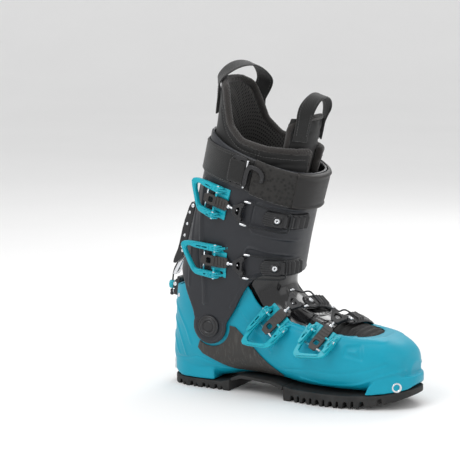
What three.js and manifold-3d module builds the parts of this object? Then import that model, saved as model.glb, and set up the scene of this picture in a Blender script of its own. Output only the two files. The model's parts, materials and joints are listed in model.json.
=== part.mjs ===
// Alpine touring boot, right foot, size 27: lower shell, hinged cuff, tongue, liner, four buckles,
// power strap and ski/walk lever. Millimetres, +X to the toe, +Y to the inner side, +Z up.
// The origin is on the ground under the middle of the heel tread.
import * as THREE from "three";
import { LoftGeometry } from "three/addons/geometries/LoftGeometry.js";
import { mergeVertices } from "three/addons/utils/BufferGeometryUtils.js";
import Module from "manifold-3d";

const wasm = await Module();
wasm.setup();

// ---------------------------------------------------------------- driving dimensions
const HEEL_END = -38; // back of the sole
const SOLE_LENGTH = 302; // boot sole length
const TOE_END = HEEL_END + SOLE_LENGTH;
const PIVOT_X = 27; // cuff pivot
const PIVOT_Z = 77;
const FORWARD_LEAN = 14.5; // degrees, in ski mode
const ANKLE_HALF = 45; // outer half width of the shell at the ankle
const SHELL_WALL = 4;
const CUFF_WALL = 3.5;
const CUFF_TOP = 206; // along the leg, from the pivot
const LINER_FOAM = 5.5; // foam in the foot
const SHAFT_FOAM = 8; // foam in the shaft
const GAP = 0.4; // between pieces that touch
const HEEL_RUBBER = 10.5;
const FORE_RUBBER = 15;
const BOLT_R = 7; // cuff pivot shank
const BOLT_HEAD_R = 12.5;

const RING_POINTS = 24;
const LATERAL = -1; // the outer side of a right boot is -Y
const WIDE = 80; // wider than any half of the boot, for cutting tools

// ---------------------------------------------------------------- materials
const finish = (color, roughness, metalness = 0) =>
  new THREE.MeshStandardMaterial({ color, roughness, metalness });
const shellBlue = finish(0x12a5c8, 0.45);
const leverBlue = finish(0x19b4cf, 0.4);
const cuffGrey = finish(0x3a3c40, 0.5);
const carbonGrey = finish(0x4a4a4c, 0.45);
const glossBlack = finish(0x0c0d10, 0.12);
const partBlack = finish(0x17181a, 0.4);
const softBlack = finish(0x1a1a1b, 0.9);
const rubberBlack = finish(0x2a2a2b, 0.8);
const linkBrown = finish(0x37322f, 0.6);
const steel = finish(0xc9ccd0, 0.25, 1);

// ---------------------------------------------------------------- solids and booleans
const vec = (x, y, z) => new THREE.Vector3(x, y, z);
const radians = THREE.MathUtils.degToRad;

function solidOf(geometry) {
  const bare = new THREE.BufferGeometry();
  bare.setAttribute("position", geometry.attributes.position);
  bare.setIndex(geometry.index);
  const merged = mergeVertices(bare, 1e-4);
  return new wasm.Manifold(
    new wasm.Mesh({
      numProp: 3,
      vertProperties: new Float32Array(merged.attributes.position.array),
      triVerts: new Uint32Array(merged.index.array),
    }),
  );
}

function geometryOf(solid) {
  const mesh = solid.getMesh();
  const geometry = new THREE.BufferGeometry();
  geometry.setAttribute("position", new THREE.BufferAttribute(new Float32Array(mesh.vertProperties), 3));
  geometry.setIndex(new THREE.BufferAttribute(new Uint32Array(mesh.triVerts), 1));
  geometry.computeVertexNormals();
  return geometry;
}

// The solid moved by a matrix.
const placed = (solid, matrix) => solidOf(geometryOf(solid).applyMatrix4(matrix));

// The largest of a solid's separate bodies, without the crumbs that a cut leaves.
function mainBody(solid) {
  return solid.decompose().reduce((a, b) => (a.volume() > b.volume() ? a : b));
}

function extruded(outline, depth) {
  const shape = new THREE.Shape(outline.map(([a, b]) => new THREE.Vector2(a, b)));
  return new THREE.ExtrudeGeometry(shape, { depth, bevelEnabled: false });
}

// The outline given as [x, z] pairs, extruded along Y. Without limits it cuts right through.
const prismY = (outline, yFrom = -WIDE, yTo = WIDE) =>
  solidOf(extruded(outline, yTo - yFrom).rotateX(Math.PI / 2).translate(0, yTo, 0));

// The outline given as [x, y] pairs, extruded along Z.
const prismZ = (outline, zFrom, zTo) => solidOf(extruded(outline, zTo - zFrom).translate(0, 0, zFrom));

function box(x0, x1, y0, y1, z0, z1) {
  const geometry = new THREE.BoxGeometry(x1 - x0, y1 - y0, z1 - z0);
  return solidOf(geometry.translate((x0 + x1) / 2, (y0 + y1) / 2, (z0 + z1) / 2));
}

// The outline given as [y, z] pairs, extruded along X.
function prismX(outline, xFrom, xTo) {
  const upright = new THREE.Matrix4().makeBasis(vec(0, 1, 0), vec(0, 0, 1), vec(1, 0, 0));
  return solidOf(extruded(outline, xTo - xFrom).applyMatrix4(upright.setPosition(xFrom, 0, 0)));
}

// A profile of [radius, along] pairs turned about the line from a point in a direction.
function turned(profile, point, direction, sides = 14) {
  const points = profile.map(([r, along]) => new THREE.Vector2(r, along));
  const turn = new THREE.Quaternion().setFromUnitVectors(vec(0, 1, 0), direction);
  const geometry = new THREE.LatheGeometry(points, sides).applyQuaternion(turn);
  return solidOf(geometry.translate(...point.toArray()));
}

// A rod along X about the line y = z = 0.
function rodX(radius, middle, length, sides = 10) {
  const geometry = new THREE.CylinderGeometry(radius, radius, length, sides);
  return solidOf(geometry.rotateZ(Math.PI / 2).translate(middle, 0, 0));
}

// A cylinder along Y at (x, z), from y0 to y1.
function rodY(x, z, radius, y0, y1, sides = 16) {
  const geometry = new THREE.CylinderGeometry(radius, radius, y1 - y0, sides);
  return solidOf(geometry.translate(x, (y0 + y1) / 2, z));
}

function arc(cx, cz, radius, fromDeg, toDeg, steps) {
  return Array.from({ length: steps + 1 }, (_, i) => {
    const angle = radians(fromDeg + ((toDeg - fromDeg) * i) / steps);
    return [cx + radius * Math.cos(angle), cz + radius * Math.sin(angle)];
  });
}

// ---------------------------------------------------------------- the leg's own frame
// f runs forward and h runs up the leg from the pivot; both lie in the XZ plane.
const lean = radians(FORWARD_LEAN);
const fromLeg = (f, h) => [
  PIVOT_X + f * Math.cos(lean) + h * Math.sin(lean),
  PIVOT_Z - f * Math.sin(lean) + h * Math.cos(lean),
];
const legMatrix = new THREE.Matrix4()
  .makeRotationY(lean)
  .setPosition(PIVOT_X, 0, PIVOT_Z);
const inWorld = (solid) => placed(solid, legMatrix);

// ---------------------------------------------------------------- rings and lofts
// A closed solid through the sections, whichever way round their points run.
function lofted(sections) {
  const [first, next] = sections;
  const normal = vec(0, 0, 0);
  first.forEach((p, i) => normal.add(p.clone().cross(first[(i + 1) % first.length])));
  const ahead = vec(0, 0, 0);
  first.forEach((p, i) => ahead.add(next[i]).sub(p));
  if (normal.dot(ahead) < 0) sections.forEach((section) => section.reverse());
  return solidOf(new LoftGeometry(sections, { capStart: true, capEnd: true }));
}

// A ring in the plane of Y and the line from back to front: a superellipse of exponent n.
function ring({ back, front, half, side = 0, n = 2.4 }, columns = RING_POINTS) {
  const [bx, bz] = back;
  const [fx, fz] = front;
  const power = (value) => Math.sign(value) * Math.abs(value) ** (2 / n);
  return Array.from({ length: columns }, (_, i) => {
    const angle = (i / columns) * 2 * Math.PI;
    const along = (1 - power(Math.cos(angle))) / 2;
    const across = power(Math.sin(angle)) * half;
    return vec(bx + (fx - bx) * along, side + across, bz + (fz - bz) * along);
  });
}

// Smooth rings through the stations, each made smaller by the insets.
function loft(stations, steps, inset = {}, columns = RING_POINTS) {
  const { sideIn = 0, frontIn = 0, backIn = 0, toeIn = 0 } = inset;
  const moved = stations.map((s, k) => {
    const [bx, bz] = s.back;
    const [fx, fz] = s.front;
    const length = Math.hypot(fx - bx, fz - bz);
    const [dx, dz] = [(fx - bx) / length, (fz - bz) / length];
    const toe = toeIn * Math.max(0, 1 - k / 3);
    const most = length * 0.4; // a small end ring stays open
    return {
      back: [bx + dx * Math.min(backIn, most) - toe, bz + dz * Math.min(backIn, most)],
      front: [fx - dx * Math.min(frontIn, most) - toe, fz - dz * Math.min(frontIn, most)],
      half: s.half - Math.min(sideIn, s.half * 0.7),
      side: s.side ?? 0,
      n: s.n ?? 2.4,
    };
  });
  const through = (pick, kind, tension) =>
    new THREE.CatmullRomCurve3(moved.map((s) => vec(...pick(s))), false, kind, tension);
  const backs = through((s) => [s.back[0], 0, s.back[1]], "centripetal");
  const fronts = through((s) => [s.front[0], 0, s.front[1]], "centripetal");
  const sizes = through((s) => [s.half, s.side, s.n * 10], "catmullrom", 0.4);
  const sections = [];
  for (let i = 0; i <= steps; i++) {
    const [b, f, s] = [backs, fronts, sizes].map((curve) => curve.getPoint(i / steps));
    const section = { back: [b.x, b.z], front: [f.x, f.z], half: s.x, side: s.y, n: s.z / 10 };
    sections.push(ring(section, columns));
  }
  return lofted(sections);
}

// ---------------------------------------------------------------- the foot's outer form
// From the toe tip back to the heel and up to the ankle.
const footStations = [
  { back: [TOE_END - 9, 28], front: [TOE_END - 6, 50], half: 15, side: 6, n: 2.3 },
  { back: [TOE_END - 17, 20], front: [TOE_END - 14, 65], half: 32, side: 5, n: 2.5 },
  { back: [TOE_END - 35, 16.5], front: [TOE_END - 32, 76], half: 43, side: 3, n: 2.7 },
  { back: [200, 14.8], front: [204, 84], half: 50, side: 1, n: 2.7 },
  { back: [168, 14.8], front: [174, 91.5], half: 53, side: -1, n: 2.6 },
  { back: [135, 15.5], front: [148, 99.5], half: 51, side: -2, n: 2.5 },
  { back: [100, 20], front: [127, 109.5], half: 47.5, side: -1, n: 2.5 },
  { back: [60, 19.5], front: [115, 119], half: ANKLE_HALF, n: 2.5 },
  { back: [20, 11.5], front: [110.5, 128], half: ANKLE_HALF - 0.5, n: 2.5 },
  { back: [-19, 11], front: [111.5, 137], half: ANKLE_HALF, n: 2.5 },
  { back: [HEEL_END + 1, 25], front: [114, 146], half: ANKLE_HALF, n: 2.4 },
  { back: [HEEL_END + 0.5, 62], front: [116.5, 155], half: ANKLE_HALF, n: 2.3 },
  { back: [HEEL_END + 2, 100], front: [119, 165], half: ANKLE_HALF, n: 2.3 },
  { back: [HEEL_END + 5, 135], front: [121.5, 175], half: ANKLE_HALF, n: 2.3 },
];
function foot(d, steps = 20, columns = RING_POINTS) {
  return loft(footStations, steps, { sideIn: d, frontIn: d, backIn: d, toeIn: d }, columns);
}
const inside = (d) => foot(d, 18, 20);
const footForm = foot(0);
const footGrown = foot(-GAP);

// The sole's outline seen from above.
const soleControl = [
  [HEEL_END, 0], [HEEL_END + 5, -20], [-18, -32], [8, -35], [45, -36], [90, -42], [130, -49],
  [165, -52.5], [200, -50], [230, -40], [250, -27], [261, -11], [TOE_END, 5], [260, 21], [247, 34],
  [228, 43], [195, 48.5], [160, 48], [120, 42], [80, 37], [40, 35], [8, 34.5], [-18, 31.5],
  [HEEL_END + 5, 20],
];
function soleOutline(inset, points = 56) {
  const control = soleControl.map(([x, y]) => vec(x, y, 0));
  const curve = new THREE.CatmullRomCurve3(control, true, "centripetal");
  return Array.from({ length: points }, (_, i) => {
    const p = curve.getPoint(i / points);
    const t = curve.getTangent(i / points);
    return [p.x + t.y * inset, p.y - t.x * inset];
  }).reverse();
}

// Where the rubber meets the shell, seen from the side.
const ARCH_TOP = 21;
const underShell = [
  [HEEL_END - 8, HEEL_RUBBER], [34, HEEL_RUBBER], [46, ARCH_TOP - 5], [58, ARCH_TOP], [100, ARCH_TOP - 1],
  [118, FORE_RUBBER + 2], [128, FORE_RUBBER], [190, FORE_RUBBER], [230, FORE_RUBBER + 2],
  [TOE_END + 6, FORE_RUBBER + 9],
];
const shifted = (outline, dz) => outline.map(([x, z]) => [x, z + dz]);

// ---------------------------------------------------------------- the shell
// The edge of the opening, from the toe box back to the heel, on both sides.
const shellEdge = [
  [231, 76.5], [214, 77.5], [197, 78.5], [164, 82], [134, 88], [106, 94], [90, 99.5], [80, 110],
  [72.5, 124.5], [62, 132.5], [46, 136], [24, 134.5], [0, 127], [-20, 117], [HEEL_END - 8, 113],
];
const pivotHoles = (radius, sides = 16) => rodY(PIVOT_X, PIVOT_Z, radius, -WIDE, WIDE, sides);
const TOE_INSERT = { r: 5.6, depth: 6.4 };
const toeCups = {
  lateral: { face: vec(248, -28.4, 25.5), out: vec(0.54, -0.84, 0) },
  medial: { face: vec(248, 32.6, 25.5), out: vec(0.54, 0.84, 0) },
};
function cupRoom({ face, out }) {
  const [r, low] = [TOE_INSERT.r + GAP, -TOE_INSERT.depth - GAP];
  return turned([[0, low], [r, low], [r, 30], [0, 30]], face, out, 18);
}
const HEEL_PLATE = { back: HEEL_END - 0.6, front: HEEL_END + 2.2, half: 13.5, low: 12, high: 31.5 };

const WELT_IN = 0.6; // how far the welts stand inside the sole's outline
const WELT_LOW = 5;
const heelWeltSide = [[HEEL_END - 5, 0], [27, 0], [27, 31], [HEEL_END - 5, 31]];
const toeWeltSide = [[212, 0], [TOE_END + 5, 0], [TOE_END + 5, 36], [232, 36], [212, 26]];
const welt = (side, top) => prismZ(soleOutline(WELT_IN), WELT_LOW, top).intersect(prismY(side));

function makeShell() {
  const outer = footForm.add(welt(heelWeltSide, 31)).add(welt(toeWeltSide, 36));
  const keep = prismY([...shifted(underShell, GAP), [TOE_END + 6, 120], [244, 120], ...shellEdge]);
  const { front, half, high } = HEEL_PLATE;
  return mainBody(
    outer
      .intersect(keep)
      .subtract(inside(SHELL_WALL))
      .subtract(pivotHoles(BOLT_R + GAP))
      .subtract(cupRoom(toeCups.lateral))
      .subtract(cupRoom(toeCups.medial))
      .subtract(box(HEEL_END - 5, front + GAP, -half - 1, half + 1, 0, high + 1.5)),
  );
}

// The carbon-filled stiffening panels, one each side, set round the cuff's tip.
const TIP_R = 21; // of the cuff's tip round its bolt
const PANEL_THICK = 1.5;
const panelOutline = [
  [54.5, 81], [69.5, 67.5], [93, 45], [116, 26], [112, 24.5], [56, 25.5], [40, 31], [7, 46], [13, 62],
  [24, 74],
];
function makePanel(side) {
  const skin = foot(-PANEL_THICK).subtract(footGrown);
  const half = prismY(panelOutline, side < 0 ? -WIDE : 0, side < 0 ? 0 : WIDE);
  return mainBody(skin.intersect(half).subtract(pivotHoles(TIP_R + 3, 32)));
}

// ---------------------------------------------------------------- cuff
const CUFF_PLAY = 5.4; // from the shell's ankle to the cuff's outside
const cuffSections = [
  { h: -34, back: -63, front: 66, half: ANKLE_HALF + CUFF_PLAY, n: 3 },
  { h: 0, back: -63.5, front: 67, half: ANKLE_HALF + CUFF_PLAY, n: 3 },
  { h: 40, back: -65, front: 69, half: ANKLE_HALF + CUFF_PLAY, n: 2.9 },
  { h: 80, back: -66, front: 70, half: ANKLE_HALF + 6, n: 2.7 },
  { h: 120, back: -66.5, front: 68, half: ANKLE_HALF + 7.5, n: 2.5 },
  { h: 160, back: -67, front: 67, half: ANKLE_HALF + 9.5, n: 2.4 },
  { h: CUFF_TOP + 14, back: -68.5, front: 67, half: ANKLE_HALF + 12, n: 2.4 },
];
const cuffLevels = cuffSections.map(({ h, back, front, ...rest }) => {
  return { back: [back, h], front: [front, h], ...rest };
});
function cuffLoft(d, steps = 8, columns = 28) {
  return loft(cuffLevels, steps, { sideIn: d, frontIn: d, backIn: d }, columns);
}
const cuffForm = cuffLoft(0);
const cuffGrown = cuffLoft(-GAP);
const CUFF_FRONT_EDGE = 80; // its lower edge in front, along the leg
const CUFF_REAR_EDGE = 47;
const cuffOutline = [
  [-90, CUFF_REAR_EDGE], [-61, CUFF_REAR_EDGE], [-48, 37], [-41, 28], [-28, 14],
  ...arc(0, 0, TIP_R, 172, 385, 14),
  [25, 26], [31, 54], [40, 72], [54, CUFF_FRONT_EDGE], [90, CUFF_FRONT_EDGE], [90, CUFF_TOP - 8],
  [20, CUFF_TOP - 5], [-30, CUFF_TOP], [-50, CUFF_TOP + 6], [-90, CUFF_TOP + 6],
];
const CATCH_ROOM = 15; // half the width of the slot that the catch stands in
function makeCuff() {
  const legPivot = rodY(0, 0, BOLT_R + GAP, -WIDE, WIDE);
  const catchSlot = box(-90, -40, -CATCH_ROOM, CATCH_ROOM, 30, 66);
  const shell = cuffForm.subtract(cuffLoft(CUFF_WALL, 7, 24)).intersect(prismY(cuffOutline));
  return mainBody(shell.subtract(legPivot).subtract(catchSlot));
}

// ---------------------------------------------------------------- tongue and toe cover
const roundPivot = (deg, r) => [
  PIVOT_X + r * Math.cos(radians(deg)),
  PIVOT_Z + r * Math.sin(radians(deg)),
];
const TONGUE_SHEET = 2.4;
const tongueIn = SHELL_WALL + GAP;
const tongueSkin = inside(tongueIn).subtract(inside(tongueIn + TONGUE_SHEET));
const TONGUE_SPLIT = 17; // degrees above the horizontal, seen from the pivot
const TOE_SPLIT = 172; // where the tongue ends over the toe cover
const splitLine = (deg) => [roundPivot(deg, 66), roundPivot(deg, 130)];
const tongueLow = [[TOE_SPLIT, 72], [134, 78], [106, 84], ...splitLine(TONGUE_SPLIT), [TOE_SPLIT, 130]];
const tongueHigh = [...splitLine(TONGUE_SPLIT + GAP), roundPivot(44, 150), roundPivot(56, 72)];
const coverOutline = [[TOE_SPLIT + GAP, 72], [TOE_SPLIT + GAP, 130], [231, 130], [233, 60], [205, 68]];

// ---------------------------------------------------------------- liner
const legStations = [
  { h: 70, back: -57, front: 55, half: 37.5 },
  { h: 92, back: -59, front: 55.5, half: 40.5 },
  { h: 120, back: -60.5, front: 56, half: 44.5 },
  { h: 160, back: -62, front: 57, half: 49 },
  { h: CUFF_TOP - 2, back: -63.5, front: 58, half: 52 },
  { h: 240, back: -68, front: 58, half: 53 },
  { h: 276, back: -73, front: 56, half: 51 },
].map(({ h, back, front, half }) => {
  return { back: fromLeg(back, h), front: fromLeg(front, h), half, n: 2.3 };
});
const LINER_PLAY = 1.5; // between the liner and the shell or tongue
const linerIn = tongueIn + TONGUE_SHEET + LINER_PLAY;

// A station made smaller all round by inward, and moved back from the toe.
function drawnIn(s, inward, toe = 0) {
  const [dx, dz] = [s.front[0] - s.back[0], s.front[1] - s.back[1]];
  const share = inward / Math.hypot(dx, dz);
  return {
    back: [s.back[0] + dx * share - toe, s.back[1] + dz * share],
    front: [s.front[0] - dx * share - toe, s.front[1] - dz * share],
    half: s.half - inward,
    side: s.side,
    n: s.n,
  };
}
function linerStations(foam) {
  const deep = linerIn + foam;
  const footPart = footStations.slice(0, 11).map((s, k) => {
    const length = Math.hypot(s.front[0] - s.back[0], s.front[1] - s.back[1]);
    const inward = Math.min(deep, length * 0.36, s.half * 0.7);
    return drawnIn(s, inward, deep * Math.max(0, 1 - k / 3));
  });
  const shaftFoam = foam * (SHAFT_FOAM / LINER_FOAM);
  return [...footPart, ...legStations.map((s) => drawnIn(s, shaftFoam))];
}
const linerLoft = (foam) => loft(linerStations(foam), 19, {}, 16);
// The liner bends at the ankle, so its foot, ankle and shaft are three solids with these edges.
// The shaft's lower edge is an arc round the pivot that stays clear of the shell as the cuff swings.
const SHAFT_ARC = 78;
const shaftFoot = [[-95, 106], [-60, 84], ...arc(0, 0, SHAFT_ARC, 118, 58, 4), [95, 108]];
const shaftTop = [
  [95, 222], [50, 218], [12, 213], [-14, 214], [-36, 226], [-48, 246], [-58, 262], [-70, 267], [-95, 268],
];
const linerShaftCut = [...shaftFoot, ...shaftTop].map(([f, h]) => fromLeg(f, h));
const linerFootTop = [
  [TOE_END, 100], [150, 104], [100, 92], [50, 71], [14, 66], [-12, 72], [HEEL_END - 5, 78],
];
const linerFootCut = [[HEEL_END - 5, 3], [TOE_END, 3], ...linerFootTop];
const linerAnkleCut = [
  ...shifted(linerFootTop.slice(1), GAP),
  ...shifted(linerShaftCut.slice(0, shaftFoot.length), -GAP),
];

const LINER_TONGUE = 6;
const LINER_TONGUE_HALF = 34;
const linerTongueSide = [[24, 112], [80, 112], [80, 256], [30, 258], [22, 244], [20, 200]];
function makeLinerTongue(grow = 0) {
  const outer = linerLoft(LINER_FOAM + GAP - grow);
  const inner = linerLoft(LINER_FOAM + GAP + LINER_TONGUE + grow);
  const half = LINER_TONGUE_HALF + grow;
  const side = prismY(linerTongueSide.map(([f, h]) => fromLeg(f, h)), -half, half);
  return mainBody(outer.subtract(inner).intersect(side));
}

// ---------------------------------------------------------------- board and footbed
const boardTop = [
  [HEEL_END, 18], [30, 18], [46, 23], [60, 27], [98, 27], [118, 23.5], [130, 21.8], [190, 21.8],
  [230, 24.5], [TOE_END, 33],
];
const FOOTBED_THICK = 4;
const FOOTBED_TOP = LINER_FOAM + 5; // above the board
const underBoard = (dz) => prismY([[HEEL_END, -20], ...shifted(boardTop, dz), [TOE_END, -20]]);
function makeFootbed() {
  const slice = underBoard(FOOTBED_TOP).subtract(underBoard(FOOTBED_TOP - FOOTBED_THICK));
  return mainBody(linerLoft(LINER_FOAM + GAP).intersect(slice));
}

// ---------------------------------------------------------------- soles
const SPRING = [[186, 0], [215, 2.5], [245, 9], [TOE_END + 6, 18]]; // toe spring of the tread
function groundAt(x) {
  const after = SPRING.findIndex(([sx]) => sx > x);
  if (after <= 0) return after === 0 ? 0 : SPRING.at(-1)[1];
  const [[x0, z0], [x1, z1]] = [SPRING[after - 1], SPRING[after]];
  return z0 + ((z1 - z0) * (x - x0)) / (x1 - x0);
}
function treadOutline(from, to, top, notches, depth) {
  const bottom = [[from, groundAt(from)]];
  for (const [start, width] of notches) {
    const end = start + width;
    bottom.push([start, groundAt(start)], [start + 1, groundAt(start) + depth]);
    bottom.push([end - 1, groundAt(end) + depth], [end, groundAt(end)]);
  }
  const last = notches.at(-1)[0] + 8;
  bottom.push(...SPRING.filter(([x]) => x > last && x < to), [to, groundAt(to)]);
  return [...bottom, ...top];
}
const HEEL_NOTCHES = [[-24, 6], [-8, 5], [8, 5], [24, 5]];
const FORE_NOTCHES = [[127, 6], [143, 6], [159, 6], [175, 6], [192, 6], [210, 6]];
const HEEL_SOLE_END = 44;
const FORE_SOLE_START = 118;
const RUBBER_IN = 1.2; // how far the rubber stands inside the sole's outline
const soleBlock = (outline, inset) =>
  mainBody(prismZ(soleOutline(inset), -1, 40).intersect(prismY(outline)));
const underShellBetween = (from, to) =>
  shifted(underShell.filter(([x]) => x >= from && x <= to), -GAP).reverse();
function makeHeelSole() {
  const [back, top] = [HEEL_END - 4, HEEL_RUBBER - GAP];
  const upper = [[HEEL_SOLE_END, HEEL_RUBBER + 2.4], [33, top], [back, top]];
  return soleBlock(treadOutline(back, HEEL_SOLE_END, upper, HEEL_NOTCHES, 6), RUBBER_IN);
}
function makeForeSole() {
  const top = underShellBetween(FORE_SOLE_START, TOE_END + 6);
  return soleBlock(treadOutline(FORE_SOLE_START, TOE_END + 4, top, FORE_NOTCHES, 7), RUBBER_IN);
}
function makeArch() {
  const front = FORE_SOLE_START - 0.6;
  const bottom = [[46.6, 12], [60, ARCH_TOP - 4.5], [99, ARCH_TOP - 5], [front, 12]];
  const low = [...bottom, [front, FORE_RUBBER + 1.2]];
  return soleBlock([...low, ...underShellBetween(HEEL_SOLE_END, 110)], 1);
}

// ---------------------------------------------------------------- seating pieces on a surface
function meshOf(solid) {
  const mesh = new THREE.Mesh(geometryOf(solid), new THREE.MeshBasicMaterial({ side: THREE.DoubleSide }));
  mesh.updateMatrixWorld(true);
  return mesh;
}
const ray = new THREE.Raycaster();
function seat(mesh, from, direction) {
  ray.set(from, direction.clone().normalize());
  return ray.intersectObject(mesh)[0]?.point;
}

// Walks along a surface in the plane through start with normal across, and notes where it is.
function beltAlong(mesh, start, across, forward, out, length, step = 2) {
  const route = [{ p: start.clone(), t: forward.clone(), n: out.clone() }];
  let [p, t, n] = [start.clone(), forward.clone(), out.clone()];
  for (let u = 0; u < length; u += step) {
    const ahead = p.clone().addScaledVector(t, step);
    const hit = seat(mesh, ahead.clone().addScaledVector(n, 12), n.clone().negate());
    const next = hit ?? ahead;
    const turned = next.clone().sub(p).normalize();
    t = t.clone().multiplyScalar(2).add(turned).normalize();
    n = new THREE.Vector3().crossVectors(t, across).normalize();
    p = next;
    route.push({ p: p.clone(), t: t.clone(), n: n.clone() });
  }
  return (u, v = 0, d = 0) => {
    const i = Math.min(Math.max(u / step, 0), route.length - 1.001);
    const [a, b, k] = [route[Math.floor(i)], route[Math.floor(i) + 1], i % 1];
    const at = a.p.clone().lerp(b.p, k);
    const normal = a.n.clone().lerp(b.n, k).normalize();
    return at.addScaledVector(across, v).addScaledVector(normal, d);
  };
}

// ---------------------------------------------------------------- buckles
// A buckle's own frame: x along the pull towards the rack, y across, z out of the surface.
const LEVER_PIN_Z = 8;
const LEVER_LOW = 2.8;
const LEVER_HIGH = 10;
const LINK_PIN = { x: -15, z: 4.6 }; // under the line of the lever pin, so that it locks over centre
const ARM_IN = 11.8; // the lever's two arms, across
const ARM_OUT = 18.8;
const ARM_MID = (ARM_IN + ARM_OUT) / 2;
const EAR = 2.4;
const PIN_R = 1.3;
const PLAY = 0.3; // round pins and ears that turn

function leverOutline(reach, skew) {
  return [
    [5, ARM_OUT], [-reach + 10, ARM_OUT - 1 + skew], [-reach + 2, ARM_OUT - 3 + skew],
    [-reach, ARM_OUT - 8 + skew], [-reach * 0.66, -ARM_OUT + 5], [-reach * 0.5, -ARM_OUT],
    [5, -ARM_OUT], [5, -ARM_IN], [-reach * 0.44, -ARM_IN], [-reach * 0.52, -ARM_IN + 3],
    [-reach + 12, ARM_IN - 3 + skew], [-reach + 14, ARM_IN + skew * 0.6], [5, ARM_IN],
  ];
}
function makeLever(reach, skew) {
  const body = prismZ(leverOutline(reach, skew), LEVER_LOW, LEVER_HIGH);
  const slotHalf = EAR / 2 + PLAY;
  const slot = (mid) => box(-5, 8, mid - slotHalf, mid + slotHalf, 0, LEVER_HIGH + 4);
  return body
    .subtract(slot(-ARM_MID))
    .subtract(slot(ARM_MID))
    .subtract(rodY(0, LEVER_PIN_Z, PIN_R + PLAY, -30, 30, 12))
    .subtract(rodY(LINK_PIN.x, LINK_PIN.z, PIN_R + PLAY, -15.6, 15.6, 12));
}

function makeBase() {
  const head = arc(0, LEVER_PIN_Z, 3, 30, 150, 4);
  const profile = [[-4, -5], [9, -5], [9, 1], [4.4, LEVER_PIN_Z], ...head, [-4.2, LEVER_PIN_Z], [-5, 1]];
  const ear = (mid) => prismY(profile, mid - EAR / 2, mid + EAR / 2);
  const pinHalf = ARM_OUT + 1.5;
  return box(-7, 12, -ARM_OUT + 1, ARM_OUT - 1, -7, 0.8)
    .add(box(-7, 12, -ARM_IN + 1, ARM_IN - 1, -1, 1.9))
    .add(ear(-ARM_MID))
    .add(ear(ARM_MID))
    .add(rodY(0, LEVER_PIN_Z, PIN_R, -pinHalf, pinHalf, 10));
}

// The link: a flat strap on its pin, with a threaded rod that screws into the yoke.
const LINK_THICK = 2.6;
const LINK_HALF = 6.2;
const LINK_END = 30; // from its pin to the end of the strap
const ROD_R = 1.6;
const linkMatrix = (tilt) =>
  new THREE.Matrix4().makeRotationY(tilt).setPosition(LINK_PIN.x, 0, LINK_PIN.z);
function makeLink(tilt) {
  const strap = box(-3, LINK_END, -LINK_HALF, LINK_HALF, -LINK_THICK / 2, LINK_THICK / 2);
  const pin = rodY(0, 0, PIN_R, -15, 15, 12);
  return placed(strap.add(pin).add(rodX(ROD_R, LINK_END + 6, 15)), linkMatrix(tilt));
}
function linkRoom(tilt) {
  const half = LINK_HALF + 0.8;
  return placed(box(-6, 60, -half, half, -LINK_THICK / 2 - 0.6, 12), linkMatrix(tilt));
}

const YOKE_FROM = 37; // from the link's pin
const YOKE_EYE = { x: 11.6, z: -0.2 };
const yokeOutline = [
  [0, -4.5], [4, -6.5], [11, -10.5], [14, -10.5], [14, -6], [8, -3.5],
  [8, 3.5], [14, 6], [14, 10.5], [11, 10.5], [4, 6.5], [0, 4.5],
];
const yokeMatrix = (tilt) =>
  linkMatrix(tilt).multiply(new THREE.Matrix4().makeTranslation(YOKE_FROM, 0, 0));
function makeYoke(tilt) {
  const body = prismZ(yokeOutline, -2.6, 2.8)
    .subtract(rodY(YOKE_EYE.x, YOKE_EYE.z, BAIL_R + 0.5, -20, 20, 10))
    .subtract(rodX(ROD_R + GAP, 2, 12));
  return placed(body, yokeMatrix(tilt));
}

// The rack: a toothed strip that lies along the belt, from u0 to u1, and runs on flat to its end.
const RACK_HALF = 8;
function rackOutline(u0, u1, teeth, end) {
  const pitch = (u1 - u0 - 10) / teeth;
  const low = Array.from({ length: 15 }, (_, i) => [u0 + ((end - u0) * i) / 14, -5]);
  const high = [[u0, 2.4], [u0 + 9, 3]];
  for (let k = 0; k < teeth; k++) {
    const at = u0 + 10 + k * pitch;
    high.push([at, 3], [at + pitch * 0.25, 5.6], [at + pitch * 0.6, 5.6], [at + pitch * 0.85, 3]);
  }
  high.push([u1, 2]);
  for (let u = u1 + 8; u <= end; u += 8) high.push([u, 2.8]);
  return [...low, ...high.reverse()];
}
function makeRack(belt, across, outline) {
  const rim = outline.map(([u, d]) => belt(u, 0, d));
  return lofted([-RACK_HALF, RACK_HALF].map((v) => rim.map((p) => p.clone().addScaledVector(across, v))));
}
const SCREW_AT = 4.6; // from the rack's start
const screwProfile = [[0, 2.4], [3.4, 2.4], [3.4, 4.6], [2.4, 5.6], [0, 5.8]];

// The wire bail: a rounded rod bent in a U, its ends in the yoke and its bar over the rack.
const BAIL_R = 0.9;
const BAIL_HALF = RACK_HALF + 1.9;
function tube(points, radius, sides = 6, steps = 22) {
  const path = new THREE.CatmullRomCurve3(points, false, "centripetal");
  const rim = arc(0, 0, radius, 0, 360, sides).slice(1);
  const section = new THREE.Shape(rim.map(([a, b]) => new THREE.Vector2(a, b)));
  const settings = { steps, extrudePath: path, bevelEnabled: false };
  return solidOf(new THREE.ExtrudeGeometry(section, settings));
}
// One half of the bail, from the yoke's eye to the bar: [along, across, out]. The other half mirrors it.
function makeBail(eye, onBelt, hook) {
  const half = [
    () => vec(eye.x, 3.2, eye.z),
    () => vec(eye.x, 12.2, eye.z),
    () => vec(eye.x + 2.6, 13.2, eye.z),
    (side) => onBelt((hook + 36) / 2, side * (BAIL_HALF + 2.2), 5.4),
    (side) => onBelt(hook, side * (BAIL_HALF + 0.8), 7),
    (side) => onBelt(hook, side * (BAIL_HALF - 1.5), 7.6),
  ];
  const over = (side) => half.map((point, i) => (i < 3 ? point().multiply(vec(1, side, 1)) : point(side)));
  return tube([...over(1), ...over(-1).reverse()], BAIL_R);
}

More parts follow.
